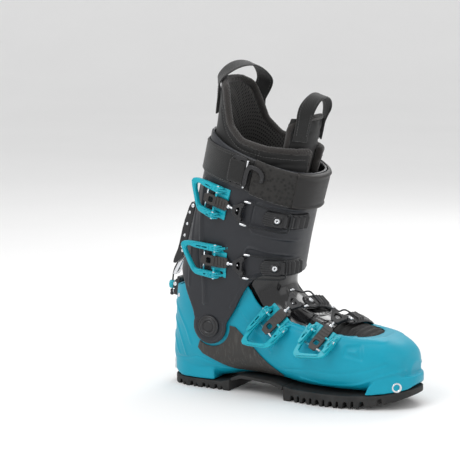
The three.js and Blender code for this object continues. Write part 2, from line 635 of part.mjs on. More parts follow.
// Each buckle: where its lever pin stands [x, z], the pull's tilt in degrees, the lever's reach and
// skew, and along the belt from the pin: the rack's teeth, the hooked tooth and the strip's end.
const buckles = {
  cuff_upper: {
    form: "cuff", at: [-22, 142], tilt: -1, reach: 40, skew: 0,
    rackFrom: 66, rackTo: 112, teeth: 5, hook: 84, stripEnd: 112,
  },
  cuff_lower: {
    form: "cuff", at: [-8, 76], tilt: 10, reach: 46, skew: 1,
    rackFrom: 62, rackTo: 106, teeth: 5, hook: 78, stripEnd: 106,
  },
  instep: {
    form: "foot", at: [109, 89], tilt: 50, reach: 46, skew: -3,
    rackFrom: 44, rackTo: 78, teeth: 4, hook: 54, stripEnd: 118,
  },
  toe: {
    form: "foot", at: [167, 77], tilt: 62, reach: 36, skew: -2,
    rackFrom: 42, rackTo: 70, teeth: 3, hook: 51, stripEnd: 112,
  },
};

// ---------------------------------------------------------------- assembly
const boot = new THREE.Group();
const cuffFrame = new THREE.Group();
cuffFrame.applyMatrix4(legMatrix);
boot.add(cuffFrame);

function piece(name, solid, material, parent = boot) {
  const mesh = new THREE.Mesh(geometryOf(solid), material);
  mesh.name = name;
  parent.add(mesh);
}
const cutFrom = (skin, outline) => mainBody(skin.intersect(prismY(outline)));

piece("lower_shell", makeShell(), shellBlue);
piece("stiffener_lateral", makePanel(LATERAL), carbonGrey);
piece("stiffener_medial", makePanel(-LATERAL), carbonGrey);
piece("sole_heel", makeHeelSole(), rubberBlack);
piece("sole_forefoot", makeForeSole(), rubberBlack);
piece("sole_arch", makeArch(), rubberBlack);
piece("boot_board", mainBody(inside(SHELL_WALL + GAP).intersect(underBoard(0))), softBlack);
piece("footbed", makeFootbed(), leverBlue);
piece("tongue", cutFrom(tongueSkin, tongueLow), glossBlack);
piece("tongue_flex", cutFrom(tongueSkin, tongueHigh), glossBlack);
piece("toe_cover", cutFrom(tongueSkin, coverOutline), softBlack);

const linerWall = linerLoft(0).subtract(linerLoft(LINER_FOAM)).subtract(underBoard(GAP));
piece("liner_foot", cutFrom(linerWall, linerFootCut), softBlack);
piece("liner_ankle", cutFrom(linerWall, linerAnkleCut), softBlack);
piece("liner_shaft", cutFrom(linerWall, linerShaftCut), softBlack);
piece("liner_tongue", makeLinerTongue(), softBlack);

piece("cuff", makeCuff(), cuffGrey, cuffFrame);

// What a buckle stands on: the cuff, or the foot with its side panels.
const panelGrown = foot(-PANEL_THICK - GAP).intersect(prismY(panelOutline));
const forms = {
  cuff: { parent: cuffFrame, mesh: meshOf(cuffForm), under: cuffGrown, strip: cuffGrown },
  foot: { parent: boot, mesh: meshOf(footForm), under: footGrown.add(panelGrown), strip: footGrown },
};

// The frame of a buckle on its surface: t along the pull, s across, n out.
function buckleFrame(mesh, [x, z], tilt) {
  const [c, s] = [Math.cos(radians(tilt)), Math.sin(radians(tilt))];
  const onSkin = (a, b) =>
    seat(mesh, vec(x + a * c - b * s, LATERAL * 120, z + a * s + b * c), vec(0, -LATERAL, 0));
  const t = onSkin(4, 0).sub(onSkin(-4, 0)).normalize();
  const rise = onSkin(0, 7).sub(onSkin(0, -7)).normalize();
  const n = new THREE.Vector3().crossVectors(t, rise).normalize();
  return { start: onSkin(0, 0), t, s: new THREE.Vector3().crossVectors(n, t).normalize(), n };
}

// The link leans so that the yoke lies close to the surface.
function leanOfLink(onBelt) {
  const slopes = [4, 8, 12, 16, 20, 24, 28, 32, 36, 40].map((u) => {
    const over = onBelt(u, 0, u < 18 ? 3.2 : 4.4);
    return Math.atan2(LINK_PIN.z - over.z, over.x - LINK_PIN.x);
  });
  return Math.min(...slopes);
}

// Each buckle: its base with ears and pin, lever, link, yoke and bail, and its rack with a screw.
function addBuckle(name, { form, at, tilt, reach, skew, rackFrom, rackTo, teeth, hook, stripEnd }) {
  const { parent, mesh, under, strip } = forms[form];
  const { start, t, s, n } = buckleFrame(mesh, at, tilt);
  const frame = new THREE.Matrix4().makeBasis(t, s, n).setPosition(start);
  const inverse = frame.clone().invert();
  const local = new THREE.Group();
  local.applyMatrix4(frame);
  parent.add(local);
  const belt = beltAlong(mesh, start, s, t, n, stripEnd + 14);
  const onBelt = (u, v, d) => belt(u, v, d).applyMatrix4(inverse);
  const linkLean = leanOfLink(onBelt);

  const near = solidOf(new THREE.BoxGeometry(60, 60, 60).translate(...start.toArray()));
  const surface = placed(under.intersect(near), inverse);
  const base = mainBody(makeBase().subtract(surface).subtract(linkRoom(linkLean)));
  piece(`${name}_base`, base, leverBlue, local);
  piece(`${name}_lever`, makeLever(reach, skew), leverBlue, local);
  piece(`${name}_link`, makeLink(linkLean), linkBrown, local);
  piece(`${name}_yoke`, makeYoke(linkLean), partBlack, local);
  const eye = vec(YOKE_EYE.x, 0, YOKE_EYE.z).applyMatrix4(yokeMatrix(linkLean));
  piece(`${name}_bail`, makeBail(eye, onBelt, hook), steel, local);

  const screwAt = belt(rackFrom + SCREW_AT, 0, 0);
  const screwOut = belt(rackFrom + SCREW_AT, 0, 1).sub(screwAt).normalize();
  const rack = makeRack(belt, s, rackOutline(rackFrom, rackTo, teeth, stripEnd))
    .subtract(strip)
    .add(turned(screwProfile, screwAt, screwOut, 10));
  piece(`${name}_rack`, mainBody(rack), partBlack, parent);
}
for (const [name, spec] of Object.entries(buckles)) addBuckle(name, spec);

// Pivots that join the cuff to the shell.
const capFace = ANKLE_HALF + CUFF_PLAY + GAP;
const nutFace = ANKLE_HALF - SHELL_WALL - 1.6;
const pivotProfile = [
  [0, nutFace - 1.7], [10, nutFace - 1.7], [10, nutFace], [BOLT_R, nutFace], [BOLT_R, capFace],
  [BOLT_HEAD_R, capFace], [BOLT_HEAD_R, capFace + 1.8], [BOLT_HEAD_R - 3, capFace + 3.2],
  [3.4, capFace + 3.2], [3.4, capFace + 0.6], [0, capFace + 0.6],
];
const pivotAt = vec(PIVOT_X, 0, PIVOT_Z);
piece("pivot_lateral", turned(pivotProfile, pivotAt, vec(0, LATERAL, 0), 18), partBlack);
piece("pivot_medial", turned(pivotProfile, pivotAt, vec(0, -LATERAL, 0), 18), partBlack);

// Steel fittings for the binding: two cups in the toe, a plate and its screw in the heel.
function makeCup({ face, out }) {
  const { r, depth } = TOE_INSERT;
  const bore = 1.8 - depth;
  const profile = [[0, -depth], [r, -depth], [r, 0.3], [r - 1.6, 0.3], [0.9, bore], [0, bore]];
  return turned(profile, face, out, 18);
}
piece("toe_insert_lateral", makeCup(toeCups.lateral), steel);
piece("toe_insert_medial", makeCup(toeCups.medial), steel);

function makeHeelPlate() {
  const { back, front, half, low, high } = HEEL_PLATE;
  const outline = [[-half, low], [half, low], [half, 25], [9, high], [-9, high], [-half, 25]];
  const pinHole = (y) => placed(rodX(2.4, HEEL_END, 40, 14), new THREE.Matrix4().makeTranslation(0, y, 21));
  const headProfile = [[0, -1], [3.6, -1], [3.6, 0.4], [3.2, 1.6], [0, 1.8]];
  return prismX(outline, back, front)
    .subtract(pinHole(-8))
    .subtract(pinHole(8))
    .add(turned(headProfile, vec(back, 0, 26), vec(-1, 0, 0), 12));
}
piece("heel_fitting", makeHeelPlate(), steel);

// Power strap: webbing behind, a pad in front, its hook buckle and its anchor. It falls to the front.
const STRAP_LOW = 163;
const STRAP_HIGH = 205;
const STRAP_FALL = 0.1;
const STRAP_SPLIT = 11; // the pad starts in front of it
const WEBBING = 2.2;
const PAD = 4.4;
const bandAt = (from, thick) => cuffLoft(-from - thick).subtract(cuffLoft(-from));
function bandSide(stops, low, high) {
  const line = (h) => stops.map((f) => [f, h - STRAP_FALL * Math.max(f, 0)]);
  return prismY([...line(low), ...line(high).reverse()], -WIDE - 10, WIDE + 10);
}
const webbingSide = bandSide([-100, 0, STRAP_SPLIT - GAP], STRAP_LOW + 3, STRAP_HIGH - 3);
const padSide = bandSide([STRAP_SPLIT, 100], STRAP_LOW, STRAP_HIGH);
piece("power_strap_webbing", mainBody(bandAt(GAP, WEBBING).intersect(webbingSide)), softBlack, cuffFrame);
piece("power_strap_pad", mainBody(bandAt(GAP, PAD).intersect(padSide)), softBlack, cuffFrame);

const onWebbing = GAP + WEBBING + GAP;
const hookWindow = (from, to) => box(from, to, -90, 0, 170, 198);
const hookPlate = bandAt(onWebbing, 2.6)
  .intersect(box(-17, 9, -90, 0, 166, 202))
  .subtract(hookWindow(-13, -8))
  .subtract(hookWindow(-4, 3));
piece("power_strap_buckle", mainBody(hookPlate), partBlack, cuffFrame);
const anchorOutline = arc(17, 184, 13, 0, 300, 5);
const anchorPlate = bandAt(onWebbing, 2.2).intersect(prismX(anchorOutline, -100, -40));
piece("power_strap_anchor", mainBody(anchorPlate), partBlack, cuffFrame);

// Ski/walk mechanism, in the leg's frame: a housing on the cuff, the lever with its pin, the lock bar
// on the lever, and the catch on the shell.
const LEVER_TOP = { f: -72.5, h: 115 };
const BAR_PIN = { f: -72.8, h: 60 };
const RAIL_IN = 6.6; // the lever's two rails, across
const RAIL_OUT = 11.6;
const alongY = (at, radius, half, sides = 14) => rodY(at.f, at.h, radius, -half, half, sides);

function makeHousing() {
  const plate = [[-13, 102], [13, 102], [13, 122], ...arc(0, 122, 13, 20, 160, 6), [-13, 122]];
  const lug = [[-66, 107], [-75.5, 109], [-76, 118], [-73, 121], [-66, 123]];
  return prismX(plate, -69, -60)
    .add(prismY(lug, -6, 6))
    .subtract(cuffGrown)
    .subtract(alongY(LEVER_TOP, 2.2, 30));
}
piece("mode_housing", mainBody(makeHousing()), partBlack, cuffFrame);

const railOutline = [
  [-71.5, 119], [-77, 118], [-80, 90], [-79.5, 62], [-82, 48], [-82, 42], [-78.6, 42], [-72, 52],
  [-70, 68], [-70, 115],
];
function makeModeLever() {
  const crossBar = (h) => box(-78, -73, -RAIL_OUT + 0.6, RAIL_OUT - 0.6, h, h + 4);
  const grip = box(-82, -78.8, -RAIL_OUT + 0.6, RAIL_OUT - 0.6, 42.5, 47.5);
  return prismY(railOutline, -RAIL_OUT, -RAIL_IN)
    .add(prismY(railOutline, RAIL_IN, RAIL_OUT))
    .add(crossBar(96))
    .add(crossBar(82))
    .add(crossBar(68))
    .add(grip)
    .subtract(alongY(LEVER_TOP, 2.1, 30))
    .add(alongY(BAR_PIN, 1.6, RAIL_OUT + 1, 10));
}
piece("mode_lever", makeModeLever(), partBlack, cuffFrame);
piece("mode_lever_pin", alongY(LEVER_TOP, 1.8, RAIL_OUT + 1), steel, cuffFrame);

const barOutline = [[-75, 64], [-71, 64], [-70.5, 56], [-77.8, 27], [-81.6, 27], [-75.6, 50]];
const lockBar = prismY(barOutline, -5.8, 5.8).subtract(alongY(BAR_PIN, 1.9, 30));
piece("mode_lock_bar", lockBar, steel, cuffFrame);

const CATCH = { f: -73.4, h: 18.3 };
function makeCatch() {
  const cheek = [[-62, 8], [-75.6, 13], [-76.6, 18], [-74.2, 24], [-62, 28]];
  const cheeks = prismY(cheek, -10, -7.4).add(prismY(cheek, 7.4, 10));
  return inWorld(cheeks.add(box(-72.6, -60, -11, 11, 6, 28)).subtract(alongY(CATCH, 2.3, 30)));
}
piece("mode_catch", mainBody(makeCatch().subtract(footGrown)), partBlack);
piece("mode_catch_pin", inWorld(alongY(CATCH, 2, 11)), steel);

// The lever's pull: a short cord from its lowest bar, through a bead, to its crimped end.
const cordRoute = [
  [-41.1, 0, 137.9], [-41.9, 0, 136.4], [-42.8, 0, 134.8], [-43.8, 0, 133.1], [-44.8, 0, 131.3],
  [-45.8, 0, 129.3], [-46.6, 0, 127.2], [-47.3, 0, 124.9], [-47.8, 0, 122.4], [-48.1, 0, 119.9],
  [-48.35, 0, 117.4], [-48.6, 0, 114.6], [-48.85, 0, 111.8], [-49.1, 0, 109], [-49.35, 0, 106.2],
  [-49.6, 0, 103.4], [-49.8, 0, 101],
];
const CORD_R = 0.9;
piece("mode_cord", tube(cordRoute.map((p) => vec(...p)), CORD_R, 8, 26), softBlack);
const BEAD_SPAN = [12, 13]; // the route's points on either side of the bead's middle
const [beadTop, beadFoot] = BEAD_SPAN.map((i) => vec(...cordRoute[i]));
const beadAt = beadTop.clone().lerp(beadFoot, 0.5);
const beadProfile = [[1.4, -4.4], [3, -4.4], [4.3, -1.8], [4.3, 1.8], [3, 4.4], [1.4, 4.4], [1.4, -4.4]];
const bead = turned(beadProfile, beadAt, beadFoot.clone().sub(beadTop).normalize());
piece("mode_cord_bead", bead, leverBlue);

// Webbing pull loops on the liner: a band bent in an arch, turned about the leg, with one foot set
// aside so that it lands on the liner.
const LOOP_THICK = 1.6;
function makeLoop({ at: [f, y], turn, half, low, high, wide, aside }, room) {
  const across = vec(Math.cos(radians(turn)), Math.sin(radians(turn)), 0);
  const along = vec(-across.y, across.x, 0);
  const rise = (r) => [[-r, low], ...arc(0, high - half, r, 180, 0, 12), [r, low]];
  const place = ([v, h], side) => {
    const shift = (side * wide) / 2 - aside * Math.max(v / half, 0) ** 2;
    return vec(f, y, h).addScaledVector(along, v).addScaledVector(across, shift);
  };
  const [outer, inner] = [rise(half), rise(half - LOOP_THICK)];
  const sections = outer.map((p, i) => {
    return [place(p, 1), place(p, -1), place(inner[i], -1), place(inner[i], 1)];
  });
  return mainBody(inWorld(lofted(sections)).subtract(room));
}
const rearLoop = { at: [-57, 6], turn: -25, half: 29, low: 250, high: 287, wide: 22, aside: 9 };
const tongueLoop = { at: [40, 0], turn: -12, half: 24, low: 244, high: 281, wide: 18, aside: 0 };
const linerHollow = linerLoft(LINER_FOAM + GAP);
const linerRoom = linerLoft(-GAP).subtract(linerHollow).intersect(prismY(linerShaftCut));
piece("rear_pull_loop", makeLoop(rearLoop, linerRoom), softBlack);
piece("tongue_pull_loop", makeLoop(tongueLoop, makeLinerTongue(GAP)), softBlack);

export default boot;
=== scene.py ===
# %% [markdown]
# Alpine touring boot, right foot.
#
# A touring boot is a stack of moulded shells round a soft liner: a lower shell that the foot stands in,
# a cuff that swings on two bolts at the ankle, a tongue that closes the instep, and a foam liner. Four
# buckles, a strap and a ski/walk lever hold it shut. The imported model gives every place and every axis;
# this lesson builds the surfaces that a person would see and touch.

# %% The frame
import math

import bmesh
import bpy
import numpy as np
from mathutils import Matrix, Vector
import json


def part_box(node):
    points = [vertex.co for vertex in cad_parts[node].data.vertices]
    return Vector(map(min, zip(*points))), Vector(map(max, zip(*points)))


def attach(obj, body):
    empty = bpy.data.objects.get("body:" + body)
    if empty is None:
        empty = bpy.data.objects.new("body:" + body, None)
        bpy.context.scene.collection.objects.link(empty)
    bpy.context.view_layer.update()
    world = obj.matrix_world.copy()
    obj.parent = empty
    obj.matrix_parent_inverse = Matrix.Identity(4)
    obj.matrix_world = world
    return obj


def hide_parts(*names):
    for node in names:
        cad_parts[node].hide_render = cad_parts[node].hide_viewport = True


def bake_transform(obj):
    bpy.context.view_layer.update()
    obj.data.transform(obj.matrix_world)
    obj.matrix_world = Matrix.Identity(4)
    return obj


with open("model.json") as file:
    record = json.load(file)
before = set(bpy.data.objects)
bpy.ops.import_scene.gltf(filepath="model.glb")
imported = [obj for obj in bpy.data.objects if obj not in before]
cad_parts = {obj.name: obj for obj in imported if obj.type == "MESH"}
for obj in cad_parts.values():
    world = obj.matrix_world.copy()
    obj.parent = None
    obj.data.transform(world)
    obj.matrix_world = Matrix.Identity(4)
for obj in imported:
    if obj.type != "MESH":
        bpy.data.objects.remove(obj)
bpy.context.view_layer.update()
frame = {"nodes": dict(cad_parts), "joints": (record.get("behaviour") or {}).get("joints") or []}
scene = bpy.context.scene
joints = {joint["name"]: joint for joint in frame["joints"]}
MM = 0.001
PIVOT = Vector(joints["cuff_pivot"]["pos_m"])
LEG_UP = -Vector(joints["power_strap_buckle_hinge"]["axis"])
LEG_FORWARD = Vector((LEG_UP.z, 0, -LEG_UP.x))
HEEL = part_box("lower_shell")[0].x + 0.5 * MM
TOE = HEEL + 302 * MM
print("the cuff swings about", [round(c, 4) for c in PIVOT], "and the boot's sole is", round(TOE - HEEL, 3), "m long")

# %% [markdown]
# The camera comes first, because the cord has to be judged from it. A long lens far away keeps the
# boot's sides nearly parallel, as a catalogue picture does. The view is from the outer side, a little to
# the front, and a little above.

# %% The camera
AZIMUTH = math.radians(28)
ELEVATION = math.radians(9)
CAMERA_RIGHT = Vector((math.cos(AZIMUTH), math.sin(AZIMUTH), 0))
CAMERA_BACK = Vector((math.sin(AZIMUTH) * math.cos(ELEVATION), -math.cos(AZIMUTH) * math.cos(ELEVATION), math.sin(ELEVATION)))
CAMERA_UP = CAMERA_BACK.cross(CAMERA_RIGHT)
SEEN_WIDTH = 0.536
LENS, SENSOR = 150, 36
camera = bpy.data.objects.new("camera", bpy.data.cameras.new("camera"))
camera.data.lens = LENS
camera.data.sensor_width = SENSOR
aim = 0.0238 * CAMERA_RIGHT + 0.1754 * CAMERA_UP
camera.matrix_world = Matrix.Translation(aim + CAMERA_BACK * SEEN_WIDTH * LENS / SENSOR) @ Matrix(
    (CAMERA_RIGHT, CAMERA_UP, CAMERA_BACK)
).transposed().to_4x4()
scene.collection.objects.link(camera)
scene.camera = camera
print("the camera stands", round(SEEN_WIDTH * LENS / SENSOR, 2), "m away")

# %% [markdown]
# The only free cord is the short pull on the ski/walk lever: a thin round cord that leaves the lever's
# lowest bar, swings back and hangs through a plastic bead to a crimped tag. A curve with a round bevel is
# the plain way to make a cord, because its own line is then the centreline that gets measured.

# %% The pull cord
CORD_RADIUS = 0.9 * MM
cord_route = [
    (-41.1, 0, 137.9), (-41.9, 0, 136.4), (-42.8, 0, 134.8), (-43.8, 0, 133.1), (-44.8, 0, 131.3), (-45.8, 0, 129.3),
    (-46.6, 0, 127.2), (-47.3, 0, 124.9), (-47.8, 0, 122.4), (-48.1, 0, 119.9), (-48.35, 0, 117.4), (-48.6, 0, 114.6),
    (-48.85, 0, 111.8), (-49.1, 0, 109), (-49.35, 0, 106.2), (-49.6, 0, 103.4), (-49.8, 0, 101),
]
curve = bpy.data.curves.new("pull_cord", "CURVE")
curve.dimensions = "3D"
spline = curve.splines.new("POLY")
spline.points.add(len(cord_route) - 1)
for point, place in zip(spline.points, cord_route):
    point.co = (*(c * MM for c in place), 1)
curve.bevel_depth = CORD_RADIUS
curve.bevel_resolution = 4
pull_cord = bpy.data.objects.new("pull_cord", curve)
scene.collection.objects.link(pull_cord)

# %% [markdown]
# Every finish below is made from nodes. Writing node trees by hand is slow to read, so one small class
# wraps a socket and lets Python's own operators add the Math nodes, and a Finish collects the nodes of
# one material. Textures are laid out in object space, which is in metres here and moves with each piece.

# %% Shader maths
class Amount:
    """A socket that carries a number, a colour or a vector through a finish."""

    def __init__(self, finish, socket):
        self.finish, self.socket = finish, socket

    def math(self, operation, *others):
        return self.finish.node("ShaderNodeMath", {"operation": operation}, dict(enumerate((self, *others))))

    def __add__(self, other):
        return self.math("ADD", other)

    def __radd__(self, other):
        return self.math("ADD", other)

    def __sub__(self, other):
        return self.math("SUBTRACT", other)

    def __rsub__(self, other):
        return self.finish.node("ShaderNodeMath", {"operation": "SUBTRACT"}, {0: other, 1: self})

    def __mul__(self, other):
        return self.math("MULTIPLY", other)

    def __rmul__(self, other):
        return self.math("MULTIPLY", other)

    def __truediv__(self, other):
        return self.math("DIVIDE", other)

    def __pow__(self, other):
        return self.math("POWER", other)

    def over(self, low, high):
        """0 below low, 1 above high, and a straight line between."""
        return self.finish.node("ShaderNodeMapRange", {}, {"Value": self, "From Min": low, "From Max": high})


class Finish:
    """One material: a Principled shader and the nodes that feed it."""

    def __init__(self, name, **constants):
        self.material = bpy.data.materials.new(name)
        self.material.use_nodes = True
        self.tree = self.material.node_tree
        self.shader = next(n for n in self.tree.nodes if n.type == "BSDF_PRINCIPLED")
        for label, value in constants.items():
            self.shader.inputs[label.replace("_", " ").title().replace("Ior", "IOR")].default_value = value
        self.place = self.node("ShaderNodeTexCoord", output="Object")

    def node(self, kind, settings={}, inputs={}, output=0):
        made = self.tree.nodes.new(kind)
        for label, value in settings.items():
            if label == "stops":
                ramp = made.color_ramp
                ramp.elements[0].position, ramp.elements[0].color = value[0]
                ramp.elements[1].position, ramp.elements[1].color = value[-1]
                for position, color in value[1:-1]:
                    ramp.elements.new(position).color = color
            else:
                setattr(made, label, value)
        for label, value in inputs.items():
            if isinstance(value, Amount):
                self.tree.links.new(value.socket, made.inputs[label])
            else:
                made.inputs[label].default_value = value
        return Amount(self, made.outputs[output])

    def noise(self, per_metre, detail=3, roughness=0.55, place=None):
        inputs = {"Vector": place or self.place, "Scale": per_metre, "Detail": detail, "Roughness": roughness}
        return self.node("ShaderNodeTexNoise", {}, inputs)

    def cells(self, per_metre, place=None, feature="F1"):
        inputs = {"Vector": place or self.place, "Scale": per_metre}
        return self.node("ShaderNodeTexVoronoi", {"feature": feature}, inputs, output="Distance")

    def bands(self, per_metre, direction="X", place=None, wobble=0):
        inputs = {"Vector": place or self.place, "Scale": per_metre * math.tau / 20, "Distortion": wobble}
        return self.node("ShaderNodeTexWave", {"bands_direction": direction}, inputs, output="Fac")

    def turned(self, angles, stretch=(1, 1, 1)):
        inputs = {"Vector": self.place, "Rotation": angles, "Scale": stretch}
        return self.node("ShaderNodeMapping", {}, inputs)

    def edges(self):
        return self.node("ShaderNodeAttribute", {"attribute_name": "edge"}, output="Fac")

    def mix(self, share, first, second):
        inputs = {"Factor": share, 6: first, 7: second}
        return self.node("ShaderNodeMix", {"data_type": "RGBA"}, inputs, output=2)

    def feed(self, **amounts):
        for label, amount in amounts.items():
            self.tree.links.new(amount.socket, self.shader.inputs[label.replace("_", " ").title()])
        return self

    def bump(self, height, depth, strength=1.0):
        inputs = {"Height": height, "Distance": depth, "Strength": strength}
        normal = self.node("ShaderNodeBump", {}, inputs)
        self.tree.links.new(normal.socket, self.shader.inputs["Normal"])
        return self


def grey(value, warm=0.0):
    return (value * (1 + warm), value, value * (1 - warm), 1)


print("a finish is a Principled shader with Python operators for its maths")

# %% [markdown]
# The lower shell is moulded from a tough nylon in a strong cyan blue. Real moulded shells aren't one flat
# colour: the pigment clouds slightly, the mould leaves a very fine orange-peel texture, and raised edges
# get polished and paler with handling. The finish mixes those three in.

# %% Moulded plastics
def moulded(name, deep, pale, worn, roughness, peel=0.02, depth=0.05, gloss=0.0, speckle=0.0, shine=0.5):
    finish = Finish(name, roughness=roughness, coat_weight=gloss, coat_roughness=0.08, specular_ior_level=shine)
    cloud = finish.noise(14, 4, 0.6)
    grain = finish.noise(1400, 2)
    edge = finish.edges()
    color = finish.mix(cloud.over(0.3, 0.7), deep, pale)
    color = finish.mix((edge * (cloud + 0.3)).over(0.1, 0.9), color, worn)
    if speckle:
        color = finish.mix(finish.cells(900).over(0.12, 0.05) * speckle, color, worn)
    scuffs = finish.noise(60, 6, 0.7, finish.turned((0.3, 0.9, 0.2), (1, 1, 7)))
    rough = roughness + (scuffs - 0.5) * 0.22 + (cloud - 0.5) * 0.1 - edge * 0.08
    finish.feed(base_color=color, roughness=rough)
    return finish.bump(grain * peel + finish.noise(260, 3) * peel + scuffs.over(0.62, 0.7) * 0.004, depth * MM * 8, 0.35).material


shell_blue = moulded("shell_blue", (0.0, 0.27, 0.38, 1), (0.001, 0.32, 0.45, 1), (0.02, 0.42, 0.56, 1), 0.42, shine=0.3)
lever_blue = moulded("lever_blue", (0.001, 0.31, 0.40, 1), (0.003, 0.38, 0.47, 1), (0.05, 0.52, 0.62, 1), 0.34, shine=0.4)
cuff_grey = moulded("cuff_grey", (0.013, 0.014, 0.018, 1), (0.020, 0.022, 0.027, 1), (0.075, 0.08, 0.09, 1), 0.42, shine=0.4)
part_black = moulded("part_black", (0.008, 0.008, 0.009, 1), (0.014, 0.014, 0.016, 1), (0.06, 0.06, 0.065, 1), 0.36)
link_brown = moulded("link_brown", (0.022, 0.019, 0.018, 1), (0.032, 0.028, 0.026, 1), (0.10, 0.085, 0.08, 1), 0.48, speckle=0.3)
strap_skin = moulded("strap_skin", (0.010, 0.009, 0.009, 1), (0.017, 0.016, 0.015, 1), (0.06, 0.055, 0.05, 1), 0.5, shine=0.35)
gloss_black = moulded("gloss_black", (0.003, 0.003, 0.004, 1), (0.005, 0.005, 0.006, 1), (0.02, 0.02, 0.022, 1), 0.17, peel=0.006, gloss=0.25)
print("seven moulded plastics")

# %% [markdown]
# The stiffening panels are a fibre-filled nylon, matt and a little brown, in which short chopped fibres
# show as faint streaks that lie in all directions. Two stretched noises turned against each other read
# as those fibres.

# %% Fibre-filled panel
def fibre_filled():
    finish = Finish("stiffener_grey", roughness=0.5, specular_ior_level=0.45)
    one_way = finish.noise(420, 3, 0.6, finish.turned((0, 0.6, 0), (1, 1, 0.12)))
    other_way = finish.noise(420, 3, 0.6, finish.turned((0, -0.9, 0.4), (1, 1, 0.12)))
    fibres = (one_way.math("MAXIMUM", other_way)).over(0.56, 0.72)
    color = finish.mix(fibres * 0.55, grey(0.030, 0.09), grey(0.085, 0.07))
    color = finish.mix(finish.edges() * 0.5, color, grey(0.13, 0.05))
    finish.feed(base_color=color, roughness=0.56 - fibres * 0.16)
    return finish.bump(fibres * 0.5 + finish.noise(900) * 0.4, 0.12 * MM, 0.5).material


stiffener_grey = fibre_filled()

# %% [markdown]
# Sole rubber is dull and dark, with a fine pebble from the mould, chalky dust in its hollows and paler
# scuffs where the lugs touch the ground. The soft rubber over the toes is the same family but smoother.

# %% Rubbers
def rubber(name, dark, dusty, pebble):
    finish = Finish(name, roughness=0.75, specular_ior_level=0.35)
    dust = finish.noise(45, 5, 0.65)
    pebbles = finish.cells(1100)
    color = finish.mix(dust.over(0.4, 0.75) * 0.6, dark, dusty)
    color = finish.mix(finish.edges() * 0.45, color, dusty)
    finish.feed(base_color=color, roughness=0.72 + (dust - 0.5) * 0.3)
    return finish.bump(pebbles * pebble + finish.noise(600) * 0.4, 0.25 * MM, 0.5).material


sole_rubber = rubber("sole_rubber", grey(0.016), grey(0.055, 0.03), 0.6)
soft_rubber = rubber("soft_rubber", grey(0.008), grey(0.026), 0.25)

# %% [markdown]
# Small steel parts are turned or stamped, then plated. Turning leaves fine rings and stamping leaves a
# brushed grain, so the roughness and the bump follow a stretched noise.

# %% Metals
def metal(name, color, roughness, grain=0.4):
    finish = Finish(name, metallic=1.0, roughness=roughness)
    brushed = finish.noise(900, 2, 0.5, finish.turned((0, 0, 0), (1, 1, 0.06)))
    smudge = finish.noise(120, 4)
    worn = tuple(min(c * 1.25, 1) for c in color[:3]) + (1,)
    tint = finish.mix(smudge, color, worn)
    finish.feed(base_color=tint, roughness=roughness + (brushed - 0.5) * grain + (smudge - 0.5) * 0.15)
    return finish.bump(brushed, 0.04 * MM, 0.25).material


steel = metal("steel", (0.62, 0.63, 0.65, 1), 0.24)
dark_wire = metal("dark_wire", (0.035, 0.036, 0.038, 1), 0.36, 0.2)
print("rubbers and metals")

# %% [markdown]
# The soft goods need weaves. Webbing is a herringbone of thick yarn: two sets of diagonal ribs that meet
# along its length. The liner's collar is rolled in a knitted brown-grey cloth, its lining is a black
# spacer mesh, its outside a smooth coated cloth, and the strap's pad is neoprene under a jersey.

# %% Cloths
def webbing_cloth():
    finish = Finish("webbing", roughness=0.85, sheen_weight=0.25, sheen_roughness=0.5, specular_ior_level=0.25)
    up = finish.bands(1000, "X", finish.turned((0, 0.78, 0.5)))
    down = finish.bands(1000, "X", finish.turned((0, -0.78, -0.5)))
    yarn = up * down
    fuzz = finish.noise(2600, 2)
    color = finish.mix(yarn * 0.8 + fuzz * 0.2, grey(0.006), grey(0.030))
    color = finish.mix(finish.edges() * 0.5, color, grey(0.045))
    finish.feed(base_color=color)
    return finish.bump(yarn + fuzz * 0.3, 0.35 * MM, 0.8).material


def knit_cloth():
    finish = Finish("knit_piping", roughness=0.92, sheen_weight=0.3, sheen_roughness=0.5, specular_ior_level=0.2)
    across = finish.bands(1250, "X", finish.turned((0.4, 0.5, 0.3)), 1.5)
    along = finish.bands(1250, "Z", finish.turned((0.2, 0.4, 0.8)), 1.5)
    loops = across * along
    fuzz = finish.noise(1800, 3)
    color = finish.mix(loops * 0.7 + fuzz * 0.3, (0.010, 0.009, 0.009, 1), (0.060, 0.052, 0.047, 1))
    finish.feed(base_color=color)
    return finish.bump(loops + fuzz * 0.5, 0.5 * MM, 0.9).material


def spacer_mesh():
    finish = Finish("spacer_mesh", roughness=0.9, sheen_weight=0.2, specular_ior_level=0.2)
    one_way = finish.bands(400, "X", finish.turned((0, 0.7, 0.6)))
    other_way = finish.bands(400, "X", finish.turned((0, -0.7, -0.6)))
    holes = (one_way * other_way).over(0.5, 0.25)
    color = finish.mix(holes, grey(0.004), grey(0.050, 0.03))
    finish.feed(base_color=color)
    return finish.bump(holes + finish.noise(2200) * 0.25, 0.5 * MM, 0.9).material


def coated_cloth():
    finish = Finish("liner_cloth", roughness=0.62, sheen_weight=0.1, specular_ior_level=0.3)
    creases = finish.noise(38, 5, 0.6, finish.turned((0, 0.25, 0), (1, 1, 1.8)))
    grain = finish.cells(1500)
    # The colour follows the crease bump: it is darker in the folds and paler and a little bluer on the crowns. This is
    # painted shade and painted light.
    color = finish.mix(creases.over(0.35, 0.7), grey(0.004), grey(0.010, -0.03))
    color = finish.mix(finish.edges() * 0.4, color, grey(0.03))
    finish.feed(base_color=color, roughness=0.62 + (creases - 0.5) * 0.3)
    return finish.bump(creases * 1.6 + grain * 0.25, 0.6 * MM, 0.6).material


def neoprene():
    finish = Finish("strap_pad", roughness=0.88, sheen_weight=0.3, sheen_roughness=0.4, specular_ior_level=0.25)
    tufts = finish.cells(210, finish.turned((0, 0.25, 0)))
    jersey = finish.noise(1500, 3)
    color = finish.mix(tufts.over(0.05, 0.5) * 0.7 + jersey * 0.3, grey(0.010), grey(0.034, 0.04))
    finish.feed(base_color=color)
    return finish.bump(tufts * 1.2 + jersey * 0.2, 0.8 * MM, 0.7).material


